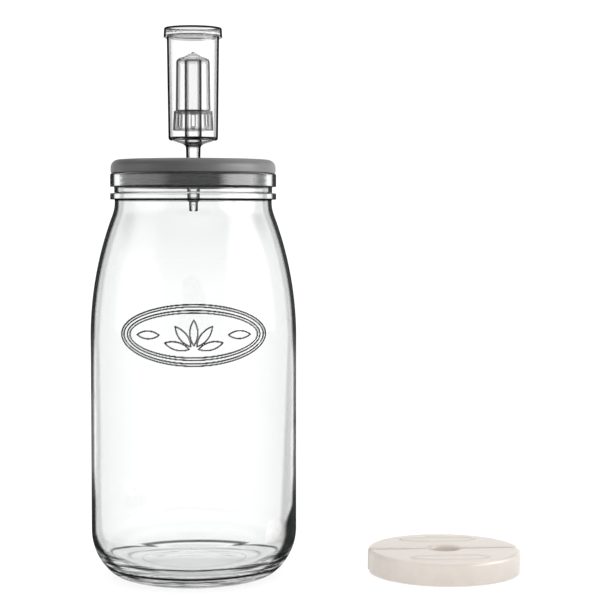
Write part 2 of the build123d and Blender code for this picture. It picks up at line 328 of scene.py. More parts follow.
def slot_turns(radius, width, count, across, between):
    """Angles of columns that keep parallel sides at count slots, for each row's radius.

    A slot's side lies at the angle asin(width / 2 r) from its middle. Columns stand evenly across
    the slot, and evenly from its side to the next slot. Also gives each slot's first column.
    """
    sector = FULL_TURN / count
    inside = np.linspace(-1, 1, across + 1)
    outside = np.arange(1, between) / between
    side_part = np.concatenate([inside, 1 - 2 * outside])
    sector_part = np.concatenate([0 * inside, outside])
    side = np.arcsin(width / 2 / radius)[:, None, None]
    middle = sector * np.arange(count)[None, :, None]
    turns = middle + side_part * side + sector_part * sector
    firsts = np.arange(count) * (across + between)
    return turns.reshape(len(radius), -1), firsts


def slotted_faces(rows, columns, loop, stretches, firsts, across):
    """Faces of a turned grid with slots, which take across columns from each of the firsts.

    A slot runs through the rows of all stretches, such as the inside and the outside of a wall.
    Each of its sides is one face, and its ends join the last row of a stretch to the next's first.
    """
    quads = grid_quads(rows, columns, loop)
    keep = np.ones(quads.shape[:2], bool)
    walls = []
    for first in firsts:
        for start, end in stretches:
            keep[start:end, first:first + across] = False
        ring = np.concatenate([np.arange(start, end + 1) for start, end in stretches]) * columns
        walls.append((ring + first).tolist())
        walls.append((ring[::-1] + first + across).tolist())
        for number, (start, end) in enumerate(stretches):
            onward = stretches[(number + 1) % len(stretches)][0]
            for column in range(first, first + across):
                near, far = end * columns + column, onward * columns + column
                walls.append([near, near + 1, far + 1, far])
    return quads[keep].tolist() + walls


def new_mesh(name, points, faces):
    """Closed mesh of the points that the faces use: doubles merged, faces outwards, sharp creases."""
    used, numbers = np.unique(np.concatenate(faces), return_inverse=True)
    ends = np.cumsum([len(face) for face in faces])
    faces = [face.tolist() for face in np.split(numbers.ravel(), ends[:-1])]
    mesh = bpy.data.meshes.new(name)
    mesh.from_pydata(np.reshape(points, (-1, 3))[used], [], faces)
    work = bmesh.new()
    work.from_mesh(mesh)
    bmesh.ops.remove_doubles(work, verts=work.verts, dist=WELD)
    bmesh.ops.recalc_face_normals(work, faces=work.faces)
    work.to_mesh(mesh)
    work.free()
    mesh.shade_smooth()
    mesh.set_sharp_from_angle(angle=CREASE)
    return mesh


def turned_mesh(name, points, columns, loop):
    """Mesh turned from an outline in even columns."""
    grid = turned(points, even_turns(columns))
    return new_mesh(name, grid, grid_faces(*grid.shape[:2], loop))


# Numbers that a mesh keeps for its material

LOOKUP_LOTS = 64
LEAST_SINE = 0.6
LEVEL_TOP = (0.45, 0.8)
LEVEL_UNDERSIDE = (0.7, 0.97)
TIGHT_BEND = (0.25, 0.7)
NEIGHBOUR_REACH = 1.5 * HOLD_STEP


def step(value, low, high):
    """Smooth step from 0 at low to 1 at high: t^2 (3 - 2 t)."""
    part = ((value - low) / (high - low)).clip(0, 1)
    return part * part * (3 - 2 * part)


def fall(value, low, high):
    """Smooth fall from 1 at low to 0 at high."""
    return 1 - step(value, low, high)


def mesh_places(mesh):
    """Places of a mesh's points as three rows: x, y and z."""
    places = np.zeros(3 * len(mesh.vertices))
    mesh.vertices.foreach_get("co", places)
    return places.reshape(-1, 3).T


def set_attribute(mesh, name, values):
    """Number for each point of a mesh, for its material to read."""
    mesh.attributes.new(name, "FLOAT", "POINT").data.foreach_set("value", values)


def nearest_rows(radius, height, points):
    """Row of the outline that lies nearest to each point of a mesh, a lot of points at a time."""
    lots = zip(np.array_split(radius, LOOKUP_LOTS), np.array_split(height, LOOKUP_LOTS))
    return np.concatenate([
        np.hypot(out[:, None] - points[:, 0], up[:, None] - points[:, 1]).argmin(axis=1)
        for out, up in lots
    ])


def tight_bends(points, fade):
    """Share of each outline point in a tight bend, which next to it is fade and then 0.

    A bend is the turn over the mean length of the two stretches that meet at the point.
    """
    stretch = np.diff(points, axis=0, append=points[:1])
    turn = np.arctan2(stretch[:, 1], stretch[:, 0])
    bend = np.abs((turn - np.roll(turn, 1) + math.pi) % FULL_TURN - math.pi)
    size = np.hypot(*stretch.T)
    tight = step(bend / (size + np.roll(size, 1)) * 2 * MM, *TIGHT_BEND)
    before = np.roll(tight, 1) * (np.roll(size, 1) < NEIGHBOUR_REACH)
    after = np.roll(tight, -1) * (size < NEIGHBOUR_REACH)
    return np.maximum(tight, fade * np.maximum(before, after))


def set_edges(mesh, points, wall, outer, inner, bends, inner_bends, fade, marks):
    """Attributes for the painted dark shade at the edges of a clear wall turned from an outline.

    A ray beside the axis by more than r - wall passes through the wall alone. It meets the
    outside, of radius r, at a cosine of root(1 - (1 - wall / r)^2), and facing is 1 minus that.
    The share of painted shade is outer or inner by the side, and 0 on level surfaces. Tight bends
    of the outline get painted shade from every view, by bends, times inner_bends on the inner
    side. So do the marks.
    """
    x, y, z = mesh_places(mesh)
    radius = np.hypot(x, y)
    normals = np.zeros(3 * len(mesh.vertices))
    mesh.vertex_normals.foreach_get("vector", normals)
    across, along, rise = normals.reshape(-1, 3).T
    sine = (1 - wall / radius.clip(wall, None)).clip(LEAST_SINE, None)
    outwards = across * x + along * y > 0
    share = np.where(outwards, outer, inner) * fall(rise, *LEVEL_TOP) * fall(-rise, *LEVEL_UNDERSIDE)
    bends = bends * np.where(outwards, 1.0, inner_bends)
    tight = tight_bends(points, fade)[nearest_rows(radius, z, points)]
    set_attribute(mesh, "edge_start", 1 - np.sqrt(1 - sine**2))
    set_attribute(mesh, "edge_shade_share", share)
    set_attribute(mesh, "painted_line_shade", np.maximum(marks, bends * tight))


def new_piece(mesh, material, node, body):
    """Object that stands for a CAD node and rides on its body, named as its mesh."""
    piece = bpy.data.objects.new(mesh.name, mesh)
    bpy.context.scene.collection.objects.link(piece)
    mesh.materials.append(material)
    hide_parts(node)
    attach(piece, body)


# Shapes shared by the ornaments

RELIEF_SOFTNESS = 1.1 * MM
TINY = 1e-9


def oval_distance(x, y, width, height):
    """Distance from an ellipse's line, below zero inside: (k - 1) / |grad k|, k the scaled radius."""
    a, b = width / 2, height / 2
    k = np.hypot(x / a, y / b) + TINY
    return (k - 1) * k / np.hypot(x / a**2, y / b**2).clip(TINY)


def oval_line_distance(x, y, width, height, line):
    """Distance from an oval line of steady width that lies inside the ellipse, below zero on it."""
    return np.abs(oval_distance(x, y, width, height) + line / 2) - line / 2


def leaf_distance(x, y, long, wide):
    """Distance from a pointed leaf along y, below zero inside: two equal circles overlap in it."""
    radius = (long**2 + wide**2) / (4 * wide)
    return np.hypot(np.abs(x) + radius - wide / 2, y) - radius


def raised(distance):
    """Share of the full relief: 1 well inside a shape, 0 outside, with a smooth slope between."""
    return step(-distance, -RELIEF_SOFTNESS / 2, RELIEF_SOFTNESS / 2)


# Shader maths


class Socket:
    """Output of a shader node that takes part in sums as a number does."""

    def __init__(self, shader, output):
        self.shader = shader
        self.output = output

    def maths(self, operation, first, second):
        """Math node on two values."""
        return self.shader.node("ShaderNodeMath", {"operation": operation}, {0: first, 1: second})

    def __add__(self, other):
        return self.maths("ADD", self, other)

    def __radd__(self, other):
        return self.maths("ADD", other, self)

    def __sub__(self, other):
        return self.maths("SUBTRACT", self, other)

    def __rsub__(self, other):
        return self.maths("SUBTRACT", other, self)

    def __mul__(self, other):
        return self.maths("MULTIPLY", self, other)

    def __rmul__(self, other):
        return self.maths("MULTIPLY", other, self)


class Shader:
    """Node tree of a material or world."""

    def __init__(self, owner):
        owner.use_nodes = True
        self.tree = owner.node_tree
        self.tree.nodes.clear()

    def node(self, kind, settings=None, inputs=None, output=0):
        """Any node: its type, its settings, the values or links of its sockets, and an output."""
        made = self.tree.nodes.new(kind)
        for name, value in (settings or {}).items():
            setattr(made, name, value)
        for name, value in (inputs or {}).items():
            if isinstance(value, Socket):
                self.tree.links.new(value.output, made.inputs[name])
            else:
                made.inputs[name].default_value = value
        return Socket(self, made.outputs[output])

    def place(self):
        """Object coordinates."""
        return self.node("ShaderNodeTexCoord", output="Object")

    def attribute(self, name):
        """Number that the mesh keeps for each point."""
        return self.node("ShaderNodeAttribute", {"attribute_name": name}, output="Fac")

    def noise(self, vector, scale, detail=2.0, roughness=0.5):
        """Noise from 0 to 1, with scale in patches per metre."""
        values = {"Vector": vector, "Scale": scale, "Detail": detail, "Roughness": roughness}
        return self.node("ShaderNodeTexNoise", inputs=values)

    def smooth(self, value, low, high, start=0.0, end=1.0):
        """Smooth step of a value from low to high, between start and end."""
        values = {"Value": value, "From Min": low, "From Max": high, "To Min": start, "To Max": end}
        return self.node("ShaderNodeMapRange", {"interpolation_type": "SMOOTHSTEP"}, values)

    def mix(self, factor, first, second):
        """Mix of two colours."""
        values = {0: factor, 6: first, 7: second}
        return self.node("ShaderNodeMix", {"data_type": "RGBA"}, values, 2)

    def bump(self, height, strength, distance):
        """Normal from a height pattern."""
        values = {"Height": height, "Strength": strength, "Distance": distance}
        return self.node("ShaderNodeBump", inputs=values)

    def principled(self, **sockets):
        """Principled shader with the named sockets."""
        values = {name.replace("_", " "): value for name, value in sockets.items()}
        return self.node("ShaderNodeBsdfPrincipled", inputs=values)

    def finish(self, surface, kind="ShaderNodeOutputMaterial"):
        """Output node for a surface, of a material unless another kind is given."""
        made = self.tree.nodes.new(kind)
        self.tree.links.new(surface.output, made.inputs["Surface"])


def new_shader(name):
    """New material and its shader."""
    material = bpy.data.materials.new(name)
    return material, Shader(material)


def opaque(tint, factor=1.0):
    """Colour with full alpha, made lighter or darker by a factor."""
    return (*[channel * factor for channel in tint], 1.0)


# Materials

# Effects of a clear wall, with its painted shade, and views from 0 straight on to 1 along the surface
EDGE_SOFTNESS = 0.05
STREAK_SCALE = 45.0
STREAK_SLOPE = (1.0, 1.0, 7.0)
STREAK_RANGE = (0.38, 0.62)
POLISH_FINENESS = 4
POLISH_RANGE = (0.45, 0.8)
POLISH_ROUGHNESS = (0.0, 0.03)
DEPTH_VIEWS = (0.05, 0.7)
DEPTH_TINT = 0.84
UPPER_SHADE_DEPTH = 0.2
SLANT_VIEWS = (0.62, 0.85)
SLANT_SHARES = (0.0, 0.3)


def wall_darkness(shader, facing, place, strength):
    """Share of painted shade: where the view runs along the wall, less pale streaks, and at painted
    marks.
    """
    start = shader.attribute("edge_start")
    grazing = shader.smooth(facing, start - EDGE_SOFTNESS, start + EDGE_SOFTNESS) * strength
    sloping = shader.node("ShaderNodeMapping", inputs={"Vector": place, "Scale": STREAK_SLOPE})
    streaks = shader.smooth(shader.noise(sloping, STREAK_SCALE), *STREAK_RANGE)
    grazing = grazing * (1 - shader.attribute("streaky") * streaks)
    return grazing.maths("MAXIMUM", grazing, shader.attribute("painted_line_shade"))


def clear_material(name, tint, edge, index, slant_shade, wave_scale, wave_depth):
    """Clear glass or plastic, faintly wavy, with painted shade where it is seen along its wall.

    A dark opaque shader, mixed in as painted shade, gives the dark outline that a clear wall shows
    against white. Attributes of the mesh say where that starts, how strong it is, and where the sides
    of raised lines and tight bends get the same painted shade. The tint deepens towards slanting
    views; painted shade deepens it further where edges are strong, and on the jar from the shoulder up.
    """
    material, shader = new_shader(name)
    place, strength = shader.place(), shader.attribute("edge_shade_share")
    facing = shader.node("ShaderNodeLayerWeight", inputs={"Blend": 0.5}, output="Facing")
    # Tint deepens at slanting views, and painted shade deepens it on the jar from the shoulder up
    depth = shader.smooth(facing, *DEPTH_VIEWS) + shader.attribute("upper_shade") * UPPER_SHADE_DEPTH
    fading = shader.mix(depth, opaque(tint), opaque(tint, DEPTH_TINT))
    # Painted shade: slanting views darken where the painted edges are strong
    slant = shader.smooth(facing, *SLANT_VIEWS) * shader.smooth(strength, *SLANT_SHARES)
    waves = shader.noise(place, wave_scale, detail=1.0)
    polish = shader.noise(place, POLISH_FINENESS * wave_scale)
    clear = shader.principled(
        Base_Color=shader.mix(slant, fading, opaque(tint, slant_shade)),
        Roughness=shader.smooth(polish, *POLISH_RANGE, *POLISH_ROUGHNESS),
        IOR=index,
        Transmission_Weight=1.0,
        Normal=shader.bump(waves, strength=1.0, distance=wave_depth),
    )
    # Painted shade: a dark opaque surface mixed in along the wall's outline
    edge_shade_surface = shader.principled(Base_Color=opaque(edge), Roughness=1.0, Specular_IOR_Level=0.0)
    share = wall_darkness(shader, facing, place, strength)
    shader.finish(shader.node("ShaderNodeMixShader", inputs={0: share, 1: clear, 2: edge_shade_surface}))
    return material


DUST_COLOUR = (0.5, 0.5, 0.5, 1.0)
DUST_SHARE = 0.12
SPECK_COLOUR = (0.42, 0.34, 0.26, 1.0)
SPECK_SHARE = 0.35
WHITE = (1.0, 1.0, 1.0, 1.0)


def silicone_material(tint):
    """Grey silicone: satin, with a fine matt grain and a little dust."""
    material, shader = new_shader("satin_silicone")
    place = shader.place()
    grain = shader.noise(place, scale=2600.0, detail=3.0)
    clouds = shader.noise(place, scale=60.0, detail=3.0)
    dust = shader.smooth(shader.noise(place, scale=900.0), low=0.68, high=0.8)
    worn = shader.mix(clouds, opaque(tint, factor=0.9), opaque(tint, factor=1.12))
    surface = shader.principled(
        Base_Color=shader.mix(dust * DUST_SHARE, worn, DUST_COLOUR),
        Roughness=shader.smooth(clouds, low=0.3, high=0.7, start=0.42, end=0.55),
        Sheen_Weight=0.12,
        Sheen_Roughness=0.4,
        Normal=shader.bump(grain, strength=0.25, distance=0.05 * MM),
    )
    shader.finish(surface)
    return material


def ceramic_material(tint):
    """Cream glaze: soft gloss, a little mottled; lighter on raised lines (thin glaze and painted
    highlight) and at the top edge and rim (painted highlight), darker beside the lines (pooled glaze
    and painted shade).
    """
    material, shader = new_shader("cream_glaze")
    place = shader.place()
    mottle = shader.noise(place, scale=120.0, detail=4.0, roughness=0.6)
    ripple = shader.noise(place, scale=260.0)
    specks = shader.smooth(shader.noise(place, scale=1500.0, detail=1.0), low=0.74, high=0.8)
    patches = shader.smooth(mottle, low=0.35, high=0.65)
    glaze = shader.mix(patches, opaque(tint, factor=0.97), opaque(tint, factor=1.03))
    # Darker beside the raised line: pooled glaze and painted shade
    glaze = shader.mix(shader.attribute("pooled_glaze_and_shade"), glaze, opaque(tint, factor=0.84))
    # Lighter on the raised line (thin glaze and painted highlight) and at the top edge and rim (painted
    # highlight)
    glaze = shader.mix(shader.attribute("thin_glaze_and_highlight"), glaze, opaque(tint, factor=1.12))
    surface = shader.principled(
        Base_Color=shader.mix(specks * SPECK_SHARE, glaze, SPECK_COLOUR),
        Roughness=shader.smooth(mottle, low=0.3, high=0.7, start=0.32, end=0.42),
        Coat_Weight=0.35,
        Coat_Roughness=0.18,
        Normal=shader.bump(ripple, strength=0.35, distance=0.12 * MM),
    )
    shader.finish(surface)
    return material


def floor_material(tint, glow):
    """Plain floor with no gloss, which glows, so that the piece's shadows on it stay faint."""
    material, shader = new_shader("pale_floor")
    surface = shader.principled(
        Base_Color=opaque(tint),
        Roughness=1.0,
        Specular_IOR_Level=0.0,
        Emission_Color=WHITE,
        Emission_Strength=glow,
    )
    shader.finish(surface)
    return material


# Jar


def shoulder_turn(jar):
    """Turn of the shoulder's two arcs, which lead from the body's radius in to the neck's."""
    reach = jar.body_radius - jar.neck_radius
    return math.acos(1 - reach / (jar.shoulder_radius + jar.neck_curve_radius))


def heel_turn(jar):
    """Turn of the heel's lower arc, which leaves the upper one just the way to the body."""
    difference = jar.heel_high_radius - jar.heel_low_radius
    return math.asin((jar.heel_high_radius - jar.heel_reach) / difference)


def crown_corner(top, edge, rise):
    """Corner whose rounding is the flat arc that falls by rise from the axis to radius edge."""
    radius = (edge**2 + rise**2) / (2 * rise)
    return (radius * math.tan(math.asin(edge / radius) / 2), top, radius)


RING_HEIGHT = 9.2 * MM
GROOVE_HEIGHT = 4.1 * MM
BEAD_HEIGHT = 4.3 * MM
BEAD_REACH = 3.0 * MM
GROOVE_REACH = 0.3 * MM
NECK_STRAIGHT = 1.5 * MM
FINISH_ROUNDING = 0.7 * MM
RIM_OUTER_ROUNDING = 1.5 * MM
RIM_INNER_ROUNDING = 1.2 * MM
FOOT_ROUNDING = 1.0 * MM


def jar_outline(jar):
    """Outline of the jar from the middle of its foot up the outside and down the inside."""
    turn, low_turn = shoulder_turn(jar), heel_turn(jar)
    body, neck = jar.body_radius, jar.neck_radius
    foot = body - jar.heel_reach
    ring_low = jar.rim_height - RING_HEIGHT
    groove_low = ring_low - GROOVE_HEIGHT
    bead_low = groove_low - BEAD_HEIGHT
    neck_height = bead_low - NECK_STRAIGHT
    shoulder_low = neck_height - (jar.shoulder_radius + jar.neck_curve_radius) * math.sin(turn)
    heel_end = foot + jar.heel_low_radius * math.sin(low_turn)
    heel_rise = jar.heel_low_radius * (1 - math.cos(low_turn))
    bead, groove = neck + BEAD_REACH, neck + GROOVE_REACH
    outside = [
        (0, jar.push_up),
        crown_corner(jar.push_up, foot - jar.foot_width, jar.push_up),
        (foot - jar.foot_width, 0, FOOT_ROUNDING),
        (foot + jar.heel_low_radius * math.tan(low_turn / 2), 0, jar.heel_low_radius),
        (body, heel_rise + (body - heel_end) * math.tan(low_turn), jar.heel_high_radius),
        (body, shoulder_low + jar.shoulder_radius * math.tan(turn / 2), jar.shoulder_radius),
        (neck, neck_height - jar.neck_curve_radius * math.tan(turn / 2), jar.neck_curve_radius),
        (neck, bead_low, FINISH_ROUNDING),
        (bead, bead_low, FINISH_ROUNDING),
        (bead, groove_low, FINISH_ROUNDING),
        (groove, groove_low, FINISH_ROUNDING),
        (groove, ring_low, FINISH_ROUNDING),
        (bead, ring_low, FINISH_ROUNDING),
        (bead, jar.rim_height, RIM_OUTER_ROUNDING),
    ]
    bore, inner = neck - jar.wall, body - jar.wall
    inner_shoulder = jar.shoulder_radius - jar.wall
    inner_neck = jar.neck_curve_radius + jar.wall
    floor_edge = inner - jar.inner_heel_radius
    inside = [
        (bore, jar.rim_height, RIM_INNER_ROUNDING),
        (bore, neck_height - inner_neck * math.tan(turn / 2), inner_neck),
        (inner, shoulder_low + inner_shoulder * math.tan(turn / 2), inner_shoulder),
        (inner, jar.floor_thickness, jar.inner_heel_radius),
        (floor_edge, jar.floor_thickness),
        crown_corner(jar.floor_thickness + jar.floor_crown, floor_edge, jar.floor_crown),
        (0, jar.floor_thickness + jar.floor_crown),
    ]
    return outline(outside + inside)


FAN_ROOT = 3.0 * MM
FAN_DROP = 9.5 * MM
FAN_ANGLE = math.radians(38)
SIDE_LEAF_PLACE = 29.0 * MM
STEEPEST_SMOOTH = 1.5


def ornament_relief(x, y, shape):
    """Height of the ornament over its plan: two oval lines, a fan of leaves and two side leaves.

    The distance from the whole is the least distance from its parts.
    """
    inset = 2 * (shape.line + shape.line_gap)
    distance = np.minimum(
        oval_line_distance(x, y, shape.width, shape.height, shape.line),
        oval_line_distance(x, y, shape.width - inset, shape.height - inset, shape.inner_line),
    )
    for number in range(shape.fan_leaf_count):
        angle = FAN_ANGLE * (number - (shape.fan_leaf_count - 1) / 2)
        along = (y + FAN_DROP) * math.cos(angle) + x * math.sin(angle) - FAN_ROOT
        across = x * math.cos(angle) - (y + FAN_DROP) * math.sin(angle)
        beyond = along - shape.fan_leaf_length / 2
        leaf = leaf_distance(across, beyond, shape.fan_leaf_length, shape.leaf_width)
        distance = np.minimum(distance, leaf)
    side_leaf = leaf_distance(y, np.abs(x) - SIDE_LEAF_PLACE, shape.side_leaf_length, shape.leaf_width)
    return shape.relief * raised(np.minimum(distance, side_leaf))


def ornament_slope(x, y, shape):
    """Steepness of the relief's sides, as a share of the steepest that a smooth step can have.

    It is the height's change between two places a short way to either side, both ways.
    """
    reach = RELIEF_SOFTNESS / 8
    across = ornament_relief(x + reach, y, shape) - ornament_relief(x - reach, y, shape)
    along = ornament_relief(x, y + reach, shape) - ornament_relief(x, y - reach, shape)
    steepest = 2 * reach * STEEPEST_SMOOTH * shape.relief / RELIEF_SOFTNESS
    return np.clip(np.hypot(across, along) / steepest, 0, 1)


# Columns and steps of the jar's mesh, which are finer in front
FRONT_REACH = math.radians(43)
FRONT_CELLS = 38
CELL_SPLIT = 6
BACK_COLUMNS = 122
BODY_STEP = 2.5 * MM
ORNAMENT_STEP = 0.45 * MM
HEEL_LINE = 9.0 * MM
HEEL_LINE_REACH = 4.0 * MM
HEEL_LINE_STEP = 0.8 * MM


def ornament_band(shape):
    """Heights between which the ornament lies."""
    reach = shape.height / 2 + RELIEF_SOFTNESS
    return shape.place - reach, shape.place + reach


def divided_jar_outline(jar, shape):
    """Outline of the jar with short steps outside, from the heel's line to the ornament's top."""
    low, high = ornament_band(shape)
    points = jar_outline(jar)
    rim = int(np.argmax(points[:, 1]))
    outside = refined(points[:rim + 1], HEEL_LINE, high, BODY_STEP)
    outside = refined(outside, low, high, ORNAMENT_STEP)
    outside = refined(outside, HEEL_LINE - HEEL_LINE_REACH, HEEL_LINE + HEEL_LINE_REACH, HEEL_LINE_STEP)
    return np.concatenate([outside, points[rim + 1:]])


def jar_mesh(shape, points):
    """Jar turned from its outline, with the ornament raised along the surface's normal in front."""
    columns = FRONT_CELLS * CELL_SPLIT
    front = np.linspace(-FRONT_REACH, FRONT_REACH, columns, endpoint=False)
    back = np.linspace(FRONT_REACH, FULL_TURN - FRONT_REACH, BACK_COLUMNS, endpoint=False)
    turns = FRONT + np.concatenate([front, back])
    grid = turned(points, turns)
    along = np.gradient(points, axis=0)
    along /= np.linalg.norm(along, axis=1, keepdims=True)
    outwards = turned(np.stack([along[:, 1], -along[:, 0]], axis=1), turns)
    rim = int(np.argmax(points[:, 1]))
    shown = (np.arange(len(points))[:, None] < rim) & (grid[:, :, 1] < 0)
    relief = ornament_relief(grid[:, :, 0], grid[:, :, 2] - shape.place, shape) * shown
    grid += outwards * relief[:, :, None]
    low, high = ornament_band(shape)
    band = np.flatnonzero((points[:rim, 1] > low) & (points[:rim, 1] < high))
    faces = band_faces(*grid.shape[:2], band[0], band[-1], FRONT_CELLS, CELL_SPLIT)
    return new_mesh("jar_body", grid, faces)


# Where painted shade darkens the jar's glass, with the ends of each smooth step in pairs
RIGHT_SIDE = (-0.3, 0.8)
THIN_BEGINS = (50 * MM, 80 * MM)
THIN_ENDS = (140 * MM, 170 * MM)
THIN_WALL_LOSS = 0.3
OUTER_SHARE = 0.97
THIN_SHARE_LOSS = 0.12
RIGHT_HEEL_WALL = 4.4 * MM
RIGHT_HEEL_ENDS = (38 * MM, 52 * MM)
LEFT_HEEL_WALL = 3.2 * MM
LEFT_HEEL_ENDS = (16 * MM, 36 * MM)
SLOPE_RANGE = (0.08, 0.45)
FLOOR_EDGE_SHARE = 0.5
FLOOR_EDGE_REACH = 1.5 * MM
FLOOR_EDGE_HEIGHTS = (5 * MM, 13 * MM)
FLOOR_EDGE_BEHIND = (-30 * MM, 10 * MM)
HEEL_LINE_ENDS = (0.6 * MM, 1.6 * MM)
HEEL_LINE_OUTSIDE = 8 * MM
FOOT_BENDS_END = 100 * MM
FOOT_BENDS_SHARE = 0.2
MOUTH_BENDS_SHARES = (1.0, 0.35, 0.35, 0.85, 0.5)
MOUTH_BENDS_MARGIN = 1 * MM
STREAKS_END = (12 * MM, 26 * MM)
STREAKS_SHARE = 0.75
UPPER_SHADE_BEGINS = (205 * MM, 240 * MM)


def edge_wall(jar, x, z, thin):
    """Wall that the painted dark edges go by: less at half height, and more at the heel.

    At the heel's right it is thicker than at its left, and reaches higher.
    """
    right = step(x / jar.body_radius, *RIGHT_SIDE)
    wall = jar.wall * (1 - THIN_WALL_LOSS * thin)
    wall += right * RIGHT_HEEL_WALL * fall(z, *RIGHT_HEEL_ENDS)
    return wall + (1 - right) * LEFT_HEEL_WALL * fall(z, *LEFT_HEEL_ENDS)


def bend_darkness(jar, z):
    """Painted shade at tight bends: faint at the foot, full up to the bead, weak round the groove."""
    ring_low = jar.rim_height - RING_HEIGHT
    groove_low = ring_low - GROOVE_HEIGHT
    groove = [groove_low - MOUTH_BENDS_MARGIN, ring_low - MOUTH_BENDS_MARGIN]
    levels = [groove_low - BEAD_HEIGHT / 2, *groove, ring_low, jar.rim_height]
    return np.interp(z, levels, MOUTH_BENDS_SHARES) * np.where(z > FOOT_BENDS_END, 1.0, FOOT_BENDS_SHARE)


def jar_marks(jar, shape, x, y, z):
    """Painted shade marks: the sides of the ornament, the floor's edge behind, and a line round the heel.
    """
    radius = np.hypot(x, y)
    slope = ornament_slope(x, z - shape.place, shape) * (y < -jar.body_radius / 2)
    slope *= radius > jar.body_radius - jar.wall / 2
    floor_edge = jar.body_radius - jar.wall - jar.inner_heel_radius
    ring = (1 - np.abs(radius - floor_edge) / FLOOR_EDGE_REACH).clip(0, 1)
    ring *= (z > FLOOR_EDGE_HEIGHTS[0]) & (z < FLOOR_EDGE_HEIGHTS[1])
    ring *= FLOOR_EDGE_SHARE * step(y, *FLOOR_EDGE_BEHIND)
    heel = fall(np.abs(z - HEEL_LINE), *HEEL_LINE_ENDS) * (radius > floor_edge + HEEL_LINE_OUTSIDE)
    return np.maximum.reduce([step(slope, *SLOPE_RANGE), ring, heel])


class FERMENT_OT_glass_jar(Operator):
    """Builds the glass jar with its raised ornament"""

    bl_idname = "ferment.glass_jar"
    bl_label = "Glass jar"

    def execute(self, context):
        jar, shape = context.scene.ferment_jar, context.scene.ferment_ornament
        points = divided_jar_outline(jar, shape)
        mesh = jar_mesh(shape, points)
        x, y, z = mesh_places(mesh)
        thin = step(z, *THIN_BEGINS) * fall(z, *THIN_ENDS)
        wall, outer = edge_wall(jar, x, z, thin), OUTER_SHARE - THIN_SHARE_LOSS * thin
        set_edges(
            mesh, points, wall, outer=outer, inner=0.4, bends=bend_darkness(jar, z),
            inner_bends=1.0, fade=0.3, marks=jar_marks(jar, shape, x, y, z),
        )
        # Pale streaks break up the painted shade near the foot, and painted shade darkens the glass from
        # the shoulder up
        set_attribute(mesh, "streaky", STREAKS_SHARE * fall(z, *STREAKS_END))
        set_attribute(mesh, "upper_shade", step(z, *UPPER_SHADE_BEGINS))
        glass = clear_material(
            "clear_glass_body", jar.glass, jar.glass_edge_shade,
            index=1.5, slant_shade=0.82, wave_scale=22.0, wave_depth=0.5 * MM,
        )
        new_piece(mesh, glass, "glass_jar", "jar")
        return {"FINISHED"}


# Lid

LID_COLUMNS = 192
LID_EDGE_ROUNDING = 0.8 * MM
PLUG_ROUNDING = 1.0 * MM
BOSS_ROUNDING = 1.2 * MM
RIB_ROUNDING = 0.4 * MM
RIB_ROOT_ROUNDING = 0.25 * MM
HOLE_ROUNDING = 0.5 * MM
STEM_CLEARANCE = 0.05 * MM
RIB_CLEARANCE = 0.1 * MM
STEM_ABOVE_LID = 9.6 * MM
STEM_LENGTH = 37.6 * MM


def stem_top(lid):
    """Height at which the stem meets the chamber."""
    return lid.top + STEM_ABOVE_LID


def stem_radius(airlock, lid, height):
    """Radius of the tapered stem at a height, from its lower end to its top."""
    part = (stem_top(lid) - height) / STEM_LENGTH
    return airlock.stem_top_radius + part * (airlock.stem_low_radius - airlock.stem_top_radius)


def lid_outline(lid, jar, airlock):
    """Closed outline of the lid: flange, plug with its ribs, hollow, boss and the stem's hole."""
    bore = jar.neck_radius - jar.wall
    plug, rib = bore - lid.plug_gap, bore - RIB_CLEARANCE
    hollow = plug - lid.plug_wall
    disc_low = lid.top - lid.disc_thickness
    boss_low = disc_low - lid.boss_depth
    pitch = (jar.rim_height - lid.plug_low) / lid.rib_count
    ribs = []
    for number in range(lid.rib_count):
        middle = jar.rim_height - pitch * (number + 0.5)
        ribs += [
            (plug, middle + lid.rib_height / 2, RIB_ROOT_ROUNDING),
            (rib, middle + lid.rib_height / 4, RIB_ROUNDING),
            (rib, middle - lid.rib_height / 4, RIB_ROUNDING),
            (plug, middle - lid.rib_height / 2, RIB_ROOT_ROUNDING),
        ]
    corners = [
        (stem_radius(airlock, lid, lid.top) + STEM_CLEARANCE, lid.top, HOLE_ROUNDING),
        (lid.flange_radius, lid.top, lid.flange_rounding),
        (lid.flange_radius, jar.rim_height, LID_EDGE_ROUNDING),
        (plug, jar.rim_height, RIB_ROOT_ROUNDING),
        *ribs,
        (plug, lid.plug_low, RIB_ROOT_ROUNDING),
        (hollow, lid.plug_low, PLUG_ROUNDING),
        (hollow, disc_low, PLUG_ROUNDING),
        (lid.boss_radius, disc_low, BOSS_ROUNDING),
        (lid.boss_radius, boss_low, BOSS_ROUNDING),
        (stem_radius(airlock, lid, boss_low) + STEM_CLEARANCE, boss_low, HOLE_ROUNDING),
    ]
    return outline(corners[::-1], loop=True)


class FERMENT_OT_silicone_lid(Operator):
    """Builds the silicone lid"""

    bl_idname = "ferment.silicone_lid"
    bl_label = "Silicone lid"

    def execute(self, context):
        scene = context.scene
        points = lid_outline(scene.ferment_lid, scene.ferment_jar, scene.ferment_airlock)
        mesh = turned_mesh("lid_moulding", points, LID_COLUMNS, loop=True)
        silicone = silicone_material(scene.ferment_lid.silicone)
        new_piece(mesh, silicone, "silicone_lid", "lid")
        return {"FINISHED"}


# Airlock

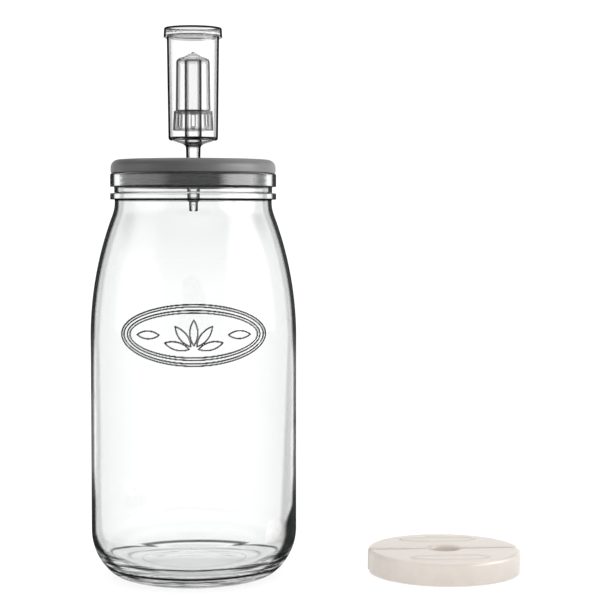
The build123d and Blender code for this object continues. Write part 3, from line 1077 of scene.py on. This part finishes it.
AIRLOCK_COLUMNS = 120
SLOT_ACROSS = 4
SLOT_BETWEEN = 11
TIP_BETWEEN = 12
TIP_SLOTS = 4
TIP_RADIUS = 3.0 * MM
TIP_BORE_RADIUS = 1.9 * MM
TIP_ROUNDING = 0.6 * MM
TIP_SLOT_WIDTH = 1.6 * MM
TIP_SLOT_DEPTH = 4.6 * MM
STEM_WALL = 1.3 * MM
STEM_STEP_ROUNDING = 0.8 * MM
CONE_HEIGHT = 3.4 * MM
CONE_ROUNDING = 2.6 * MM
CHAMBER_CORNER = 2.2 * MM
CHAMBER_FLOOR_ROUNDING = 0.9 * MM
CHAMBER_RIM_ROUNDING = 0.4 * MM
STANDPIPE_HEIGHT = 55.5 * MM
STANDPIPE_ROUNDING = 0.35 * MM
SMALL_ROUNDING = 0.2 * MM
BUBBLER_WALL = 1.2 * MM
SKIRT_GAP = 1.7 * MM
SKIRT_HEIGHT = 12.9 * MM
SKIRT_TAPER = 0.7 * MM
SKIRT_STEP = 1.2 * MM
SKIRT_ROUNDING = 0.5 * MM
SKIRT_BAND = 2.3 * MM
SKIRT_SLOT_WIDTH = 2.4 * MM
SKIRT_SLOT_HEIGHT = 8.6 * MM
BUBBLER_TAPER = 0.45 * MM
SHOULDER_RISE = 0.3 * MM
SHOULDER_ROUNDING = 3.3 * MM
CEILING_ROUNDING = 2.1 * MM
CONE_RADIUS = 5.8 * MM
CONE_RISE = 2.1 * MM
TIP_RISE = 5.2 * MM
CONE_EDGE_ROUNDING = 0.6 * MM
CAP_WALL = 1.2 * MM
CAP_SKIRT = 1.6 * MM
CAP_DRAFT = 0.4 * MM
CAP_RIM_HEIGHT = 3.8 * MM
CAP_RIM_ROUNDING = 0.5 * MM
CAP_EDGE_ROUNDING = 0.95 * MM
CAP_RING_CLEARANCE = 0.3 * MM
CAP_RING_DEPTH = 2.1 * MM
VENT_COUNT = 4
VENT_RADIUS = 0.9 * MM
VENT_PLACE = 10.0 * MM
VENT_SIDES = 20


def chamber_outline(airlock, lid):
    """Closed outline of the chamber, from the slot's end in the tip's bore down and round."""
    stem_high = stem_top(lid)
    stem_low = stem_high - STEM_LENGTH
    low = stem_high + CONE_HEIGHT
    floor = low + airlock.chamber_wall
    pipe_low = stem_high + airlock.chamber_wall
    pipe_top = pipe_low + STANDPIPE_HEIGHT
    slot_top = airlock.tip_low + TIP_SLOT_DEPTH
    taper = (airlock.chamber_radius - airlock.chamber_low_radius) / (airlock.chamber_rim - low)
    floor_radius = airlock.chamber_low_radius + taper * airlock.chamber_wall - airlock.chamber_wall
    return outline([
        (TIP_BORE_RADIUS, slot_top),
        (TIP_BORE_RADIUS, airlock.tip_low, SMALL_ROUNDING),
        (TIP_RADIUS, airlock.tip_low, TIP_ROUNDING),
        (TIP_RADIUS, slot_top),
        (TIP_RADIUS, stem_low, SMALL_ROUNDING),
        (airlock.stem_low_radius, stem_low, STEM_STEP_ROUNDING),
        (airlock.stem_top_radius, stem_high, CONE_ROUNDING),
        (airlock.chamber_low_radius, low, CHAMBER_CORNER),
        (airlock.chamber_radius, airlock.chamber_rim, CHAMBER_RIM_ROUNDING),
        (airlock.chamber_radius - airlock.chamber_wall, airlock.chamber_rim, CHAMBER_RIM_ROUNDING),
        (floor_radius, floor, CHAMBER_FLOOR_ROUNDING),
        (airlock.standpipe_radius, pipe_low, CHAMBER_FLOOR_ROUNDING),
        (airlock.standpipe_radius, pipe_top, STANDPIPE_ROUNDING),
        (airlock.standpipe_bore, pipe_top, STANDPIPE_ROUNDING),
        (airlock.standpipe_bore, pipe_low, SMALL_ROUNDING),
        (airlock.stem_top_radius - STEM_WALL, stem_high, SMALL_ROUNDING),
        (airlock.stem_low_radius - STEM_WALL, stem_low + 2 * STEM_WALL, SMALL_ROUNDING),
        (TIP_BORE_RADIUS, stem_low + STEM_WALL, SMALL_ROUNDING),
    ], loop=True)


def chamber_mesh(airlock, points):
    """Chamber turned from its outline, with the tip's crossing slots."""
    slot_top = airlock.tip_low + TIP_SLOT_DEPTH
    last = int(np.flatnonzero(np.isclose(points[:, 1], slot_top))[1])
    radius = points[:, 0].clip(TIP_BORE_RADIUS, TIP_RADIUS)
    turns, firsts = slot_turns(radius, TIP_SLOT_WIDTH, TIP_SLOTS, SLOT_ACROSS, TIP_BETWEEN)
    grid = turned(points, turns)
    faces = slotted_faces(*grid.shape[:2], True, [(0, last)], firsts, SLOT_ACROSS)
    return new_mesh("chamber_shell", grid, faces)


def bubbler_outline(airlock):
    """Outline of the bubbler from the middle of its ceiling down the inside and up the outside."""
    top = airlock.bubbler_tip - TIP_RISE
    low = airlock.bubbler_low
    ledge = low + SKIRT_HEIGHT
    skirt_low = airlock.chamber_low_radius - airlock.chamber_wall - SKIRT_GAP
    skirt_top = skirt_low - SKIRT_TAPER
    body_low = skirt_top - SKIRT_STEP
    body_top = body_low - BUBBLER_TAPER
    slot_low = low + SKIRT_BAND
    slot_top = slot_low + SKIRT_SLOT_HEIGHT

    def skirt(height, inset):
        """Point on the skirt's tapered side at a height."""
        return (skirt_low - inset - SKIRT_TAPER * (height - low) / SKIRT_HEIGHT, height)

    return outline([
        (0, top),
        (body_top - BUBBLER_WALL, top, CEILING_ROUNDING),
        (body_low - BUBBLER_WALL, ledge - BUBBLER_WALL, CONE_EDGE_ROUNDING / 2),
        (*skirt(ledge - BUBBLER_WALL, BUBBLER_WALL), SKIRT_ROUNDING),
        skirt(slot_top, BUBBLER_WALL),
        skirt(slot_low, BUBBLER_WALL),
        (*skirt(low, BUBBLER_WALL), CONE_EDGE_ROUNDING / 2),
        (*skirt(low, 0), CONE_EDGE_ROUNDING / 2),
        skirt(slot_low, 0),
        skirt(slot_top, 0),
        (*skirt(ledge, 0), SKIRT_ROUNDING),
        (body_low, ledge, CONE_EDGE_ROUNDING / 2),
        (body_top, top + SHOULDER_RISE, SHOULDER_ROUNDING),
        (CONE_RADIUS, top + CONE_RISE, CONE_EDGE_ROUNDING),
        (0, airlock.bubbler_tip),
    ])


def bubbler_mesh(airlock, points):
    """Bubbler turned from its outline, with the slots in its skirt."""
    slot_low = airlock.bubbler_low + SKIRT_BAND
    lows = np.flatnonzero(np.isclose(points[:, 1], slot_low)).tolist()
    tops = np.flatnonzero(np.isclose(points[:, 1], slot_low + SKIRT_SLOT_HEIGHT)).tolist()
    skirt_radius = points[:, 0].clip(points[lows[0], 0] - SKIRT_TAPER, None)
    count = airlock.skirt_slot_count
    turns, firsts = slot_turns(skirt_radius, SKIRT_SLOT_WIDTH, count, SLOT_ACROSS, SLOT_BETWEEN)
    grid = turned(points, turns)
    stretches = [(tops[0], lows[0]), (lows[1], tops[1])]
    faces = slotted_faces(*grid.shape[:2], False, stretches, firsts, SLOT_ACROSS)
    return new_mesh("bubbler_cup", grid, faces)


def cap_outline(airlock):
    """Outline of the cap from the middle of its underside round the skirt to the disc's middle."""
    rim, top = airlock.chamber_rim, airlock.cap_top
    disc = top - CAP_RIM_HEIGHT
    ring_outer = airlock.chamber_radius - airlock.chamber_wall - CAP_RING_CLEARANCE
    ring_inner = ring_outer - CAP_WALL
    inside = airlock.cap_radius - CAP_WALL
    rim_outer = airlock.cap_radius - CAP_DRAFT
    return outline([
        (0, rim),
        (ring_inner, rim, SMALL_ROUNDING),
        (ring_inner, rim - CAP_RING_DEPTH, SMALL_ROUNDING),
        (ring_outer, rim - CAP_RING_DEPTH, SMALL_ROUNDING),
        (ring_outer, rim, SMALL_ROUNDING),
        (inside, rim, SMALL_ROUNDING),
        (inside, rim - CAP_SKIRT, SMALL_ROUNDING),
        (airlock.cap_radius, rim - CAP_SKIRT, SMALL_ROUNDING),
        (rim_outer, top, CAP_EDGE_ROUNDING),
        (rim_outer - CAP_WALL, top, SMALL_ROUNDING / 2),
        (rim_outer - CAP_WALL, disc, CAP_RIM_ROUNDING),
        (0, disc),
    ])


def vent_cutter(airlock):
    """Closed rods through the cap's disc, one for each vent, on a ring about the axis."""
    low, high = airlock.chamber_rim - CAP_WALL, airlock.cap_top - CAP_RIM_HEIGHT + CAP_WALL
    rod = outline([(0, low), (VENT_RADIUS, low), (VENT_RADIUS, high), (0, high)])
    grid = turned(rod, even_turns(VENT_SIDES))
    quads = grid_quads(*grid.shape[:2], False).reshape(-1, 4)
    places = FULL_TURN * (np.arange(VENT_COUNT) + 0.5) / VENT_COUNT
    centres = VENT_PLACE * np.stack([np.cos(places), np.sin(places), 0 * places], axis=1)
    points = centres[:, None, None, :] + grid
    faces = np.arange(VENT_COUNT)[:, None, None] * grid[:, :, 0].size + quads
    return new_mesh("vent_cutter", points, faces.reshape(-1, 4).tolist())


def drilled(mesh, cutter):
    """Mesh with the cutter's solid taken out of it."""
    body = bpy.data.objects.new(mesh.name, mesh)
    tool = bpy.data.objects.new(cutter.name, cutter)
    for piece in (body, tool):
        bpy.context.scene.collection.objects.link(piece)
    cut = body.modifiers.new("vents", "BOOLEAN")
    cut.operation, cut.solver, cut.object = "DIFFERENCE", "EXACT", tool
    made = bpy.data.meshes.new_from_object(body.evaluated_get(bpy.context.evaluated_depsgraph_get()))
    for piece in (body, tool):
        bpy.data.objects.remove(piece)
    made.name = mesh.name
    made.set_sharp_from_angle(angle=CREASE)
    return made


# Where painted shade darkens the airlock's plastic
SLOT_SHARE = 0.65
SLOT_TOLERANCE = 10 * WELD
EDGE_WALL_FACTOR = 1.1
PIPE_TOP_REACH = 1.0 * MM
PIPE_TOP_BENDS = 0.5
CAP_RIM_LINE = (1.9 * MM, 1.2 * MM)
CAP_LOW_REACH = 0.5 * MM
CAP_LOW_BENDS = 0.3
CAP_BENDS = 0.45


def slot_marks(mesh, width, count, low, depth):
    """Painted shade marks at the sides and ends of slots, which reach up by depth from low.

    Turned back to the nearest slot's middle, a point on a slot's side lies width / 2 beside it.
    """
    x, y, z = mesh_places(mesh)
    high = low + depth
    sector = FULL_TURN / count
    turn = (np.arctan2(y, x) + sector / 2) % sector - sector / 2
    beside = np.abs(np.hypot(x, y) * np.sin(turn))
    within = (z > low - WELD) & (z < high + WELD) & (beside < width / 2 + SLOT_TOLERANCE)
    edge = (beside > width / 2 - SLOT_TOLERANCE) | (z < low + WELD) | (z > high - WELD)
    return SLOT_SHARE * (within & edge)


def add_plastic(airlock, mesh, points, plastic, node, body, bends, inner_bends, marks):
    """Piece of the airlock with its painted dark edges, which go by a wall a little over the chamber's.
    """
    set_edges(
        mesh, points, EDGE_WALL_FACTOR * airlock.chamber_wall, outer=1.0, inner=0.5,
        bends=bends, inner_bends=inner_bends, fade=0.5, marks=marks,
    )
    new_piece(mesh, plastic, node, body)


def add_chamber(airlock, lid, plastic):
    """Chamber, with weaker painted shade at the bends of the standpipe's top."""
    points = chamber_outline(airlock, lid)
    mesh = chamber_mesh(airlock, points)
    pipe_top = stem_top(lid) + airlock.chamber_wall + STANDPIPE_HEIGHT
    beyond = np.abs(mesh_places(mesh)[2] - pipe_top)
    bends = np.where(beyond < PIPE_TOP_REACH, PIPE_TOP_BENDS, 1.0)
    marks = slot_marks(mesh, TIP_SLOT_WIDTH, TIP_SLOTS, airlock.tip_low, TIP_SLOT_DEPTH)
    add_plastic(airlock, mesh, points, plastic, "airlock_chamber", "airlock", bends, 1.0, marks)


def add_bubbler(airlock, plastic):
    """Bubbler, with painted shade marking the slots of its skirt."""
    points = bubbler_outline(airlock)
    mesh = bubbler_mesh(airlock, points)
    slots = (airlock.skirt_slot_count, airlock.bubbler_low + SKIRT_BAND, SKIRT_SLOT_HEIGHT)
    marks = slot_marks(mesh, SKIRT_SLOT_WIDTH, *slots)
    add_plastic(airlock, mesh, points, plastic, "airlock_bubbler", "bubbler", 1.0, 0.5, marks)


def add_cap(airlock, plastic):
    """Cap with its vents, weak painted shade at its bends, and painted shade on the top of its rim."""
    points = cap_outline(airlock)
    dish = turned_mesh("cap_dish", points, AIRLOCK_COLUMNS, loop=False)
    mesh = drilled(dish, vent_cutter(airlock))
    x, y, z = mesh_places(mesh)
    bends = np.where(z < airlock.chamber_rim + CAP_LOW_REACH, CAP_LOW_BENDS, CAP_BENDS)
    marks = step(z, *(airlock.cap_top - depth for depth in CAP_RIM_LINE))
    marks *= np.hypot(x, y) > airlock.cap_radius - CAP_DRAFT - CAP_WALL / 2
    add_plastic(airlock, mesh, points, plastic, "airlock_cap", "cap", bends, 0.5, marks)


class FERMENT_OT_airlock(Operator):
    """Builds the chamber, bubbler and cap of the airlock"""

    bl_idname = "ferment.airlock"
    bl_label = "Airlock"

    def execute(self, context):
        airlock = context.scene.ferment_airlock
        plastic = clear_material(
            "clear_plastic_moulding", airlock.plastic, airlock.plastic_edge_shade,
            index=1.3, slant_shade=0.92, wave_scale=60.0, wave_depth=0.12 * MM,
        )
        add_chamber(airlock, context.scene.ferment_lid, plastic)
        add_bubbler(airlock, plastic)
        add_cap(airlock, plastic)
        return {"FINISHED"}


# Pressing weights

WEIGHT_ARC_POINTS = 110
WEIGHT_CORNER_POINTS = 10
WEIGHT_LINE_POINTS = 40
WEIGHT_EDGE_POINTS = 7
WEIGHT_TOP_RINGS = 44
WEIGHT_LOW_RINGS = 3
CORE_END = math.radians(34)
# Reaches of the painted highlight at the top edge and rim, and of the pooled glaze and painted shade
# beside the raised line
EDGE_HIGHLIGHT_REACH = 1.6 * MM
RIM_HIGHLIGHT_REACH = 5.0 * MM
RIM_HIGHLIGHT_INSET = 1.0 * MM
EDGE_HIGHLIGHT_SHARE = 0.6
POOL_AND_SHADE_REACH = 1.3 * MM


def half_disc_plan(weight):
    """Right half of a weight's plan: points, outward directions and where each leads in the middle.

    The outline runs from the top of the rim over the outer corner, along the cut, over the notch's
    corner and up the notch. Each arc is centre + radius (cos a, sin a). The middle is an arc halfway
    between rim and notch, where the rim's points and the notch's points meet in pairs.
    """
    cut = weight.gap / 2
    corner, bend = weight.corner_radius, weight.notch_corner
    corner_y, bend_y = cut + corner, cut + bend
    corner_x = math.sqrt((weight.radius - corner) ** 2 - corner_y**2)
    bend_x = math.sqrt((weight.notch_radius + bend) ** 2 - bend_y**2)
    rim_end, notch_end = math.atan2(corner_y, corner_x), math.atan2(bend_y, bend_x)

    def arc(centre, radius, start, end, count, side):
        """Points of an arc and their outward directions, which point inwards on a notch."""
        angles = np.linspace(start, end, count)
        direction = np.stack([np.cos(angles), np.sin(angles)], axis=1)
        return np.array(centre) + radius * direction, side * direction

    rim = arc((0, 0), weight.radius, QUARTER_TURN, rim_end, WEIGHT_ARC_POINTS, 1)
    outer = arc((corner_x, corner_y), corner, rim_end, -QUARTER_TURN, WEIGHT_CORNER_POINTS, 1)
    along = np.linspace(corner_x, bend_x, WEIGHT_LINE_POINTS)
    line = (np.stack([along, 0 * along + cut], axis=1), np.stack([0 * along, 0 * along - 1], axis=1))
    inner = arc((bend_x, bend_y), bend, -QUARTER_TURN, notch_end - math.pi, WEIGHT_CORNER_POINTS, 1)
    notch = arc((0, 0), weight.notch_radius, notch_end, QUARTER_TURN, WEIGHT_ARC_POINTS, -1)
    middle = (weight.radius + weight.notch_radius) / 2
    core = arc((0, 0), middle, QUARTER_TURN, CORE_END, WEIGHT_ARC_POINTS, 1)[0]
    ends = np.repeat(core[-1:], 2 * (WEIGHT_CORNER_POINTS - 2) + WEIGHT_LINE_POINTS, axis=0)
    runs = [rim, [part[1:-1] for part in outer], line, [part[1:-1] for part in inner], notch]
    points, outwards = (np.concatenate([run[number] for run in runs]) for number in (0, 1))
    return points, outwards, np.concatenate([core, ends, core[::-1]])


def weight_grid(weight):
    """Rings of a half disc: out over the low rounding, up the side, over the top and inwards.

    A ring is the plan moved in by d. The roundings give d and z as arcs, and the flat rings lead
    from the rounding to the middle arc in even steps.
    """
    right = half_disc_plan(weight)
    mirrored = [part[-2:0:-1] * np.array([-1, 1]) for part in right]
    points, outwards, core = (np.concatenate(pair) for pair in zip(right, mirrored))
    bend = np.linspace(0, QUARTER_TURN, WEIGHT_EDGE_POINTS)
    low, top, thickness = weight.low_rounding, weight.top_rounding, weight.thickness
    inset = np.concatenate([low * (1 - np.sin(bend)), [0.0, 0.0], top * (1 - np.cos(bend))])
    hold = [low + HOLD_STEP, thickness - top - HOLD_STEP]
    height = np.concatenate([low * (1 - np.cos(bend)), hold, thickness - top * (1 - np.sin(bend))])
    edge = points - inset[:, None, None] * outwards
    low_share = np.linspace(1, 0, WEIGHT_LOW_RINGS, endpoint=False)[:, None, None]
    top_share = np.linspace(0, 1, WEIGHT_TOP_RINGS + 1)[1:, None, None]
    under = edge[0] + low_share * (core - edge[0])
    over = edge[-1] + top_share * (core - edge[-1])
    plan = np.concatenate([under, edge, over])
    heights = np.concatenate([np.zeros(WEIGHT_LOW_RINGS), height, np.full(WEIGHT_TOP_RINGS, thickness)])
    return np.concatenate([plan, np.broadcast_to(heights[:, None, None], (*plan.shape[:2], 1))], axis=2)


def weight_oval(weight, x, y):
    """Distance from the raised oval's line, whose middle lies halfway from the notch to the rim."""
    middle = (weight.radius + weight.notch_radius) / 2
    return oval_line_distance(x, y - middle, weight.oval_width, weight.oval_height, weight.oval_line)


def set_glaze_light_and_shade(mesh, weight):
    """Attributes for the glaze and painted light: lighter on the raised line (thin glaze and painted
    highlight) and at the top edge and rim (painted highlight), darker beside the line (pooled glaze
    and painted shade).
    """
    x, y, z = mesh_places(mesh)
    radius, oval = np.hypot(x, y), weight_oval(weight, x, y)
    line = raised(oval)
    # Painted highlight along the top edge and the rim
    edge_height = weight.thickness - weight.top_rounding / 3
    edge = np.clip(1 - np.abs(z - edge_height) / EDGE_HIGHLIGHT_REACH, 0, 1)
    edge *= (radius > weight.radius - weight.corner_radius) & (z < weight.thickness)
    rim = step(radius, weight.radius - RIM_HIGHLIGHT_REACH, weight.radius - RIM_HIGHLIGHT_INSET)
    thin = np.maximum(line, EDGE_HIGHLIGHT_SHARE * np.maximum(edge, rim))
    set_attribute(mesh, "thin_glaze_and_highlight", thin * (z > weight.thickness / 2))
    # Pooled glaze and painted shade beside the raised line
    pool_and_shade = raised(oval - POOL_AND_SHADE_REACH) * (1 - line)
    set_attribute(mesh, "pooled_glaze_and_shade", pool_and_shade * (z > weight.thickness - WELD))


def weight_mesh(name, weight, turn):
    """Half disc with its raised oval, turned about the disc's centre and moved there."""
    grid = weight_grid(weight)
    top = grid[:, :, 2] >= weight.thickness
    grid[:, :, 2] += weight.relief * raised(weight_oval(weight, grid[:, :, 0], grid[:, :, 1])) * top
    mesh = new_mesh(name, grid, grid_faces(*grid.shape[:2], loop=False))
    set_glaze_light_and_shade(mesh, weight)
    x, y, z = mesh_places(mesh)
    cosine, sine = math.cos(turn), math.sin(turn)
    placed = np.stack([weight.centre + x * cosine - y * sine, x * sine + y * cosine, z], axis=1)
    mesh.vertices.foreach_set("co", placed.ravel())
    mesh.update()
    return mesh


class FERMENT_OT_pressing_weights(Operator):
    """Builds the two half-disc pressing weights"""

    bl_idname = "ferment.pressing_weights"
    bl_label = "Pressing weights"

    def execute(self, context):
        weight = context.scene.ferment_weights
        glaze = ceramic_material(weight.ceramic)
        for side, turn in (("back", 0.0), ("front", math.pi)):
            mesh = weight_mesh(f"weight_half_{side}", weight, turn)
            new_piece(mesh, glaze, f"pressing_weight_{side}", f"weight_{side}")
        return {"FINISHED"}


# Stage

CAMERA_PLACE = (0.0, -1.166, 0.2476)
CAMERA_YAW = math.radians(3.77)
CAMERA_PITCH = math.radians(3.3)
CAMERA_ROLL = math.radians(0.05)
CAMERA_LENS = 101.5
SENSOR_WIDTH = 36.0
LIGHT_BOUNCES = 32
LAMP_PLACE = Vector((1.3, -0.5, 0.65))
LAMP_TARGET = Vector((0.02, 0.0, 0.272))
LAMP_SIZE = 0.15
LAMP_POWER = 330.0
LAMP_CONE = math.radians(14)
RIGHT_SOFTBOX = math.radians(76)
LEFT_SOFTBOX = math.radians(-74)
SOFTBOX_EDGE = (0.72, 0.94)
BAND_BEGINS = (0.25, 0.4)
ZENITH_BEGINS = (0.55, 0.75)
MIRRORED_IN_FRONT = (-0.1, 0.3)


def lid_light():
    """Soft lamp with a cone of light on the lid, which neither the camera nor the glass shows."""
    lamp = bpy.data.lights.new("lid_light", "SPOT")
    lamp.shadow_soft_size, lamp.energy = LAMP_SIZE, LAMP_POWER
    lamp.spot_size, lamp.spot_blend = LAMP_CONE, 1.0
    light = bpy.data.objects.new("lid_light", lamp)
    light.location = LAMP_PLACE
    light.rotation_euler = (LAMP_TARGET - LAMP_PLACE).to_track_quat("-Z", "Y").to_euler()
    light.visible_camera = light.visible_glossy = light.visible_transmission = False
    bpy.context.scene.collection.objects.link(light)


def softbox(shader, direction, turn, strength):
    """Light of a softbox at an angle from the front, by the cosine from its middle."""
    middle = (math.sin(turn), -math.cos(turn), 0.0)
    values = {0: direction, 1: middle}
    cosine = shader.node("ShaderNodeVectorMath", {"operation": "DOT_PRODUCT"}, values, "Value")
    return shader.smooth(cosine, *SOFTBOX_EDGE, 0.0, strength)


def studio_world(stage):
    """Light from all round: white near the level, dimmer above it and bright overhead.

    Mirrored light from the front and sides comes from a dim room with a softbox to the right and
    a weaker one to the left.
    """
    world = bpy.data.worlds.new("studio")
    bpy.context.scene.world = world
    shader = Shader(world)
    direction = shader.node("ShaderNodeTexCoord", output="Generated")
    ahead, up = (
        shader.node("ShaderNodeSeparateXYZ", inputs={"Vector": direction}, output=axis) for axis in "YZ"
    )
    level = shader.smooth(up, *BAND_BEGINS, stage.horizon_light - stage.band_light, 0.0)
    plain = level + shader.smooth(up, *ZENITH_BEGINS, stage.band_light, stage.zenith_light)
    boxes = softbox(shader, direction, RIGHT_SOFTBOX, stage.right_light)
    boxes = boxes + softbox(shader, direction, LEFT_SOFTBOX, stage.left_light)
    glossy, transmitted = (
        shader.node("ShaderNodeLightPath", output=f"Is {kind} Ray") for kind in ("Glossy", "Transmission")
    )
    mirrored = glossy * (1 - transmitted) * shader.smooth(ahead, *MIRRORED_IN_FRONT, 1.0, 0.0)
    strength = plain + mirrored * (boxes + stage.room_light - plain)
    surface = shader.node("ShaderNodeBackground", inputs={"Color": WHITE, "Strength": strength})
    shader.finish(surface, "ShaderNodeOutputWorld")


def studio_floor(stage):
    """Square floor at the height of the jar's foot."""
    size = stage.floor_size
    mesh = bpy.data.meshes.new("floor")
    corners = [(-size, -size, 0), (size, -size, 0), (size, size, 0), (-size, size, 0)]
    mesh.from_pydata(corners, [], [(0, 1, 2, 3)])
    mesh.materials.append(floor_material(stage.floor, stage.floor_glow))
    floor = bpy.data.objects.new("floor", mesh)
    bpy.context.scene.collection.objects.link(floor)


def studio_camera():
    """Camera of the photograph, with its aim as yaw and pitch, and then roll about its view."""
    lens = bpy.data.cameras.new("camera")
    lens.sensor_width, lens.lens = SENSOR_WIDTH, CAMERA_LENS
    camera = bpy.data.objects.new("camera", lens)
    camera.location = CAMERA_PLACE
    aim = Euler((QUARTER_TURN - CAMERA_PITCH, 0.0, -CAMERA_YAW), "XYZ").to_matrix()
    camera.rotation_euler = (aim @ Euler((0.0, 0.0, CAMERA_ROLL)).to_matrix()).to_euler()
    bpy.context.scene.collection.objects.link(camera)
    bpy.context.scene.camera = camera


class FERMENT_OT_stage(Operator):
    """Sets up the floor, the light and the camera"""

    bl_idname = "ferment.stage"
    bl_label = "Stage"

    def execute(self, context):
        scene, stage = context.scene, context.scene.ferment_stage
        studio_floor(stage)
        lid_light()
        studio_world(stage)
        studio_camera()
        scene.view_settings.view_transform = "Standard"
        scene.cycles.max_bounces = LIGHT_BOUNCES
        scene.cycles.transmission_bounces = LIGHT_BOUNCES
        scene.cycles.glossy_bounces = LIGHT_BOUNCES // 2
        scene.cycles.use_denoising = True
        return {"FINISHED"}


class FERMENT_PT_panel(Panel):
    """Lists the sizes and the pieces"""

    bl_label = "Fermentation jar"
    bl_space_type = "VIEW_3D"
    bl_region_type = "UI"
    bl_category = "Fermentation jar"

    def draw(self, context):
        for name, label, _, operator in SECTIONS:
            box = self.layout.box()
            box.label(text=label)
            group = getattr(context.scene, name)
            for key in group.bl_rna.properties.keys():
                if key not in ("rna_type", "name"):
                    box.prop(group, key)
            if operator:
                box.operator(operator.bl_idname)


SECTIONS = (
    ("ferment_jar", "Jar", JarSettings, FERMENT_OT_glass_jar),
    ("ferment_ornament", "Ornament", OrnamentSettings, None),
    ("ferment_lid", "Lid", LidSettings, FERMENT_OT_silicone_lid),
    ("ferment_airlock", "Airlock", AirlockSettings, FERMENT_OT_airlock),
    ("ferment_weights", "Pressing weights", WeightSettings, FERMENT_OT_pressing_weights),
    ("ferment_stage", "Stage", StageSettings, FERMENT_OT_stage),
)
GROUPS = {name: group for name, _, group, _ in SECTIONS}
CLASSES = (*GROUPS.values(), *[operator for *_, operator in SECTIONS if operator], FERMENT_PT_panel)


def register():
    """Registers the settings, the operators and the panel."""
    for made in CLASSES:
        bpy.utils.register_class(made)
    for name, group in GROUPS.items():
        setattr(bpy.types.Scene, name, PointerProperty(type=group))


def unregister():
    """Takes back what register does."""
    for name in GROUPS:
        delattr(bpy.types.Scene, name)
    for made in reversed(CLASSES):
        bpy.utils.unregister_class(made)


def main():
    register()
    bpy.ops.ferment.glass_jar()
    bpy.ops.ferment.silicone_lid()
    bpy.ops.ferment.airlock()
    bpy.ops.ferment.pressing_weights()
    bpy.ops.ferment.stage()


if __name__ == "__main__":
    main()
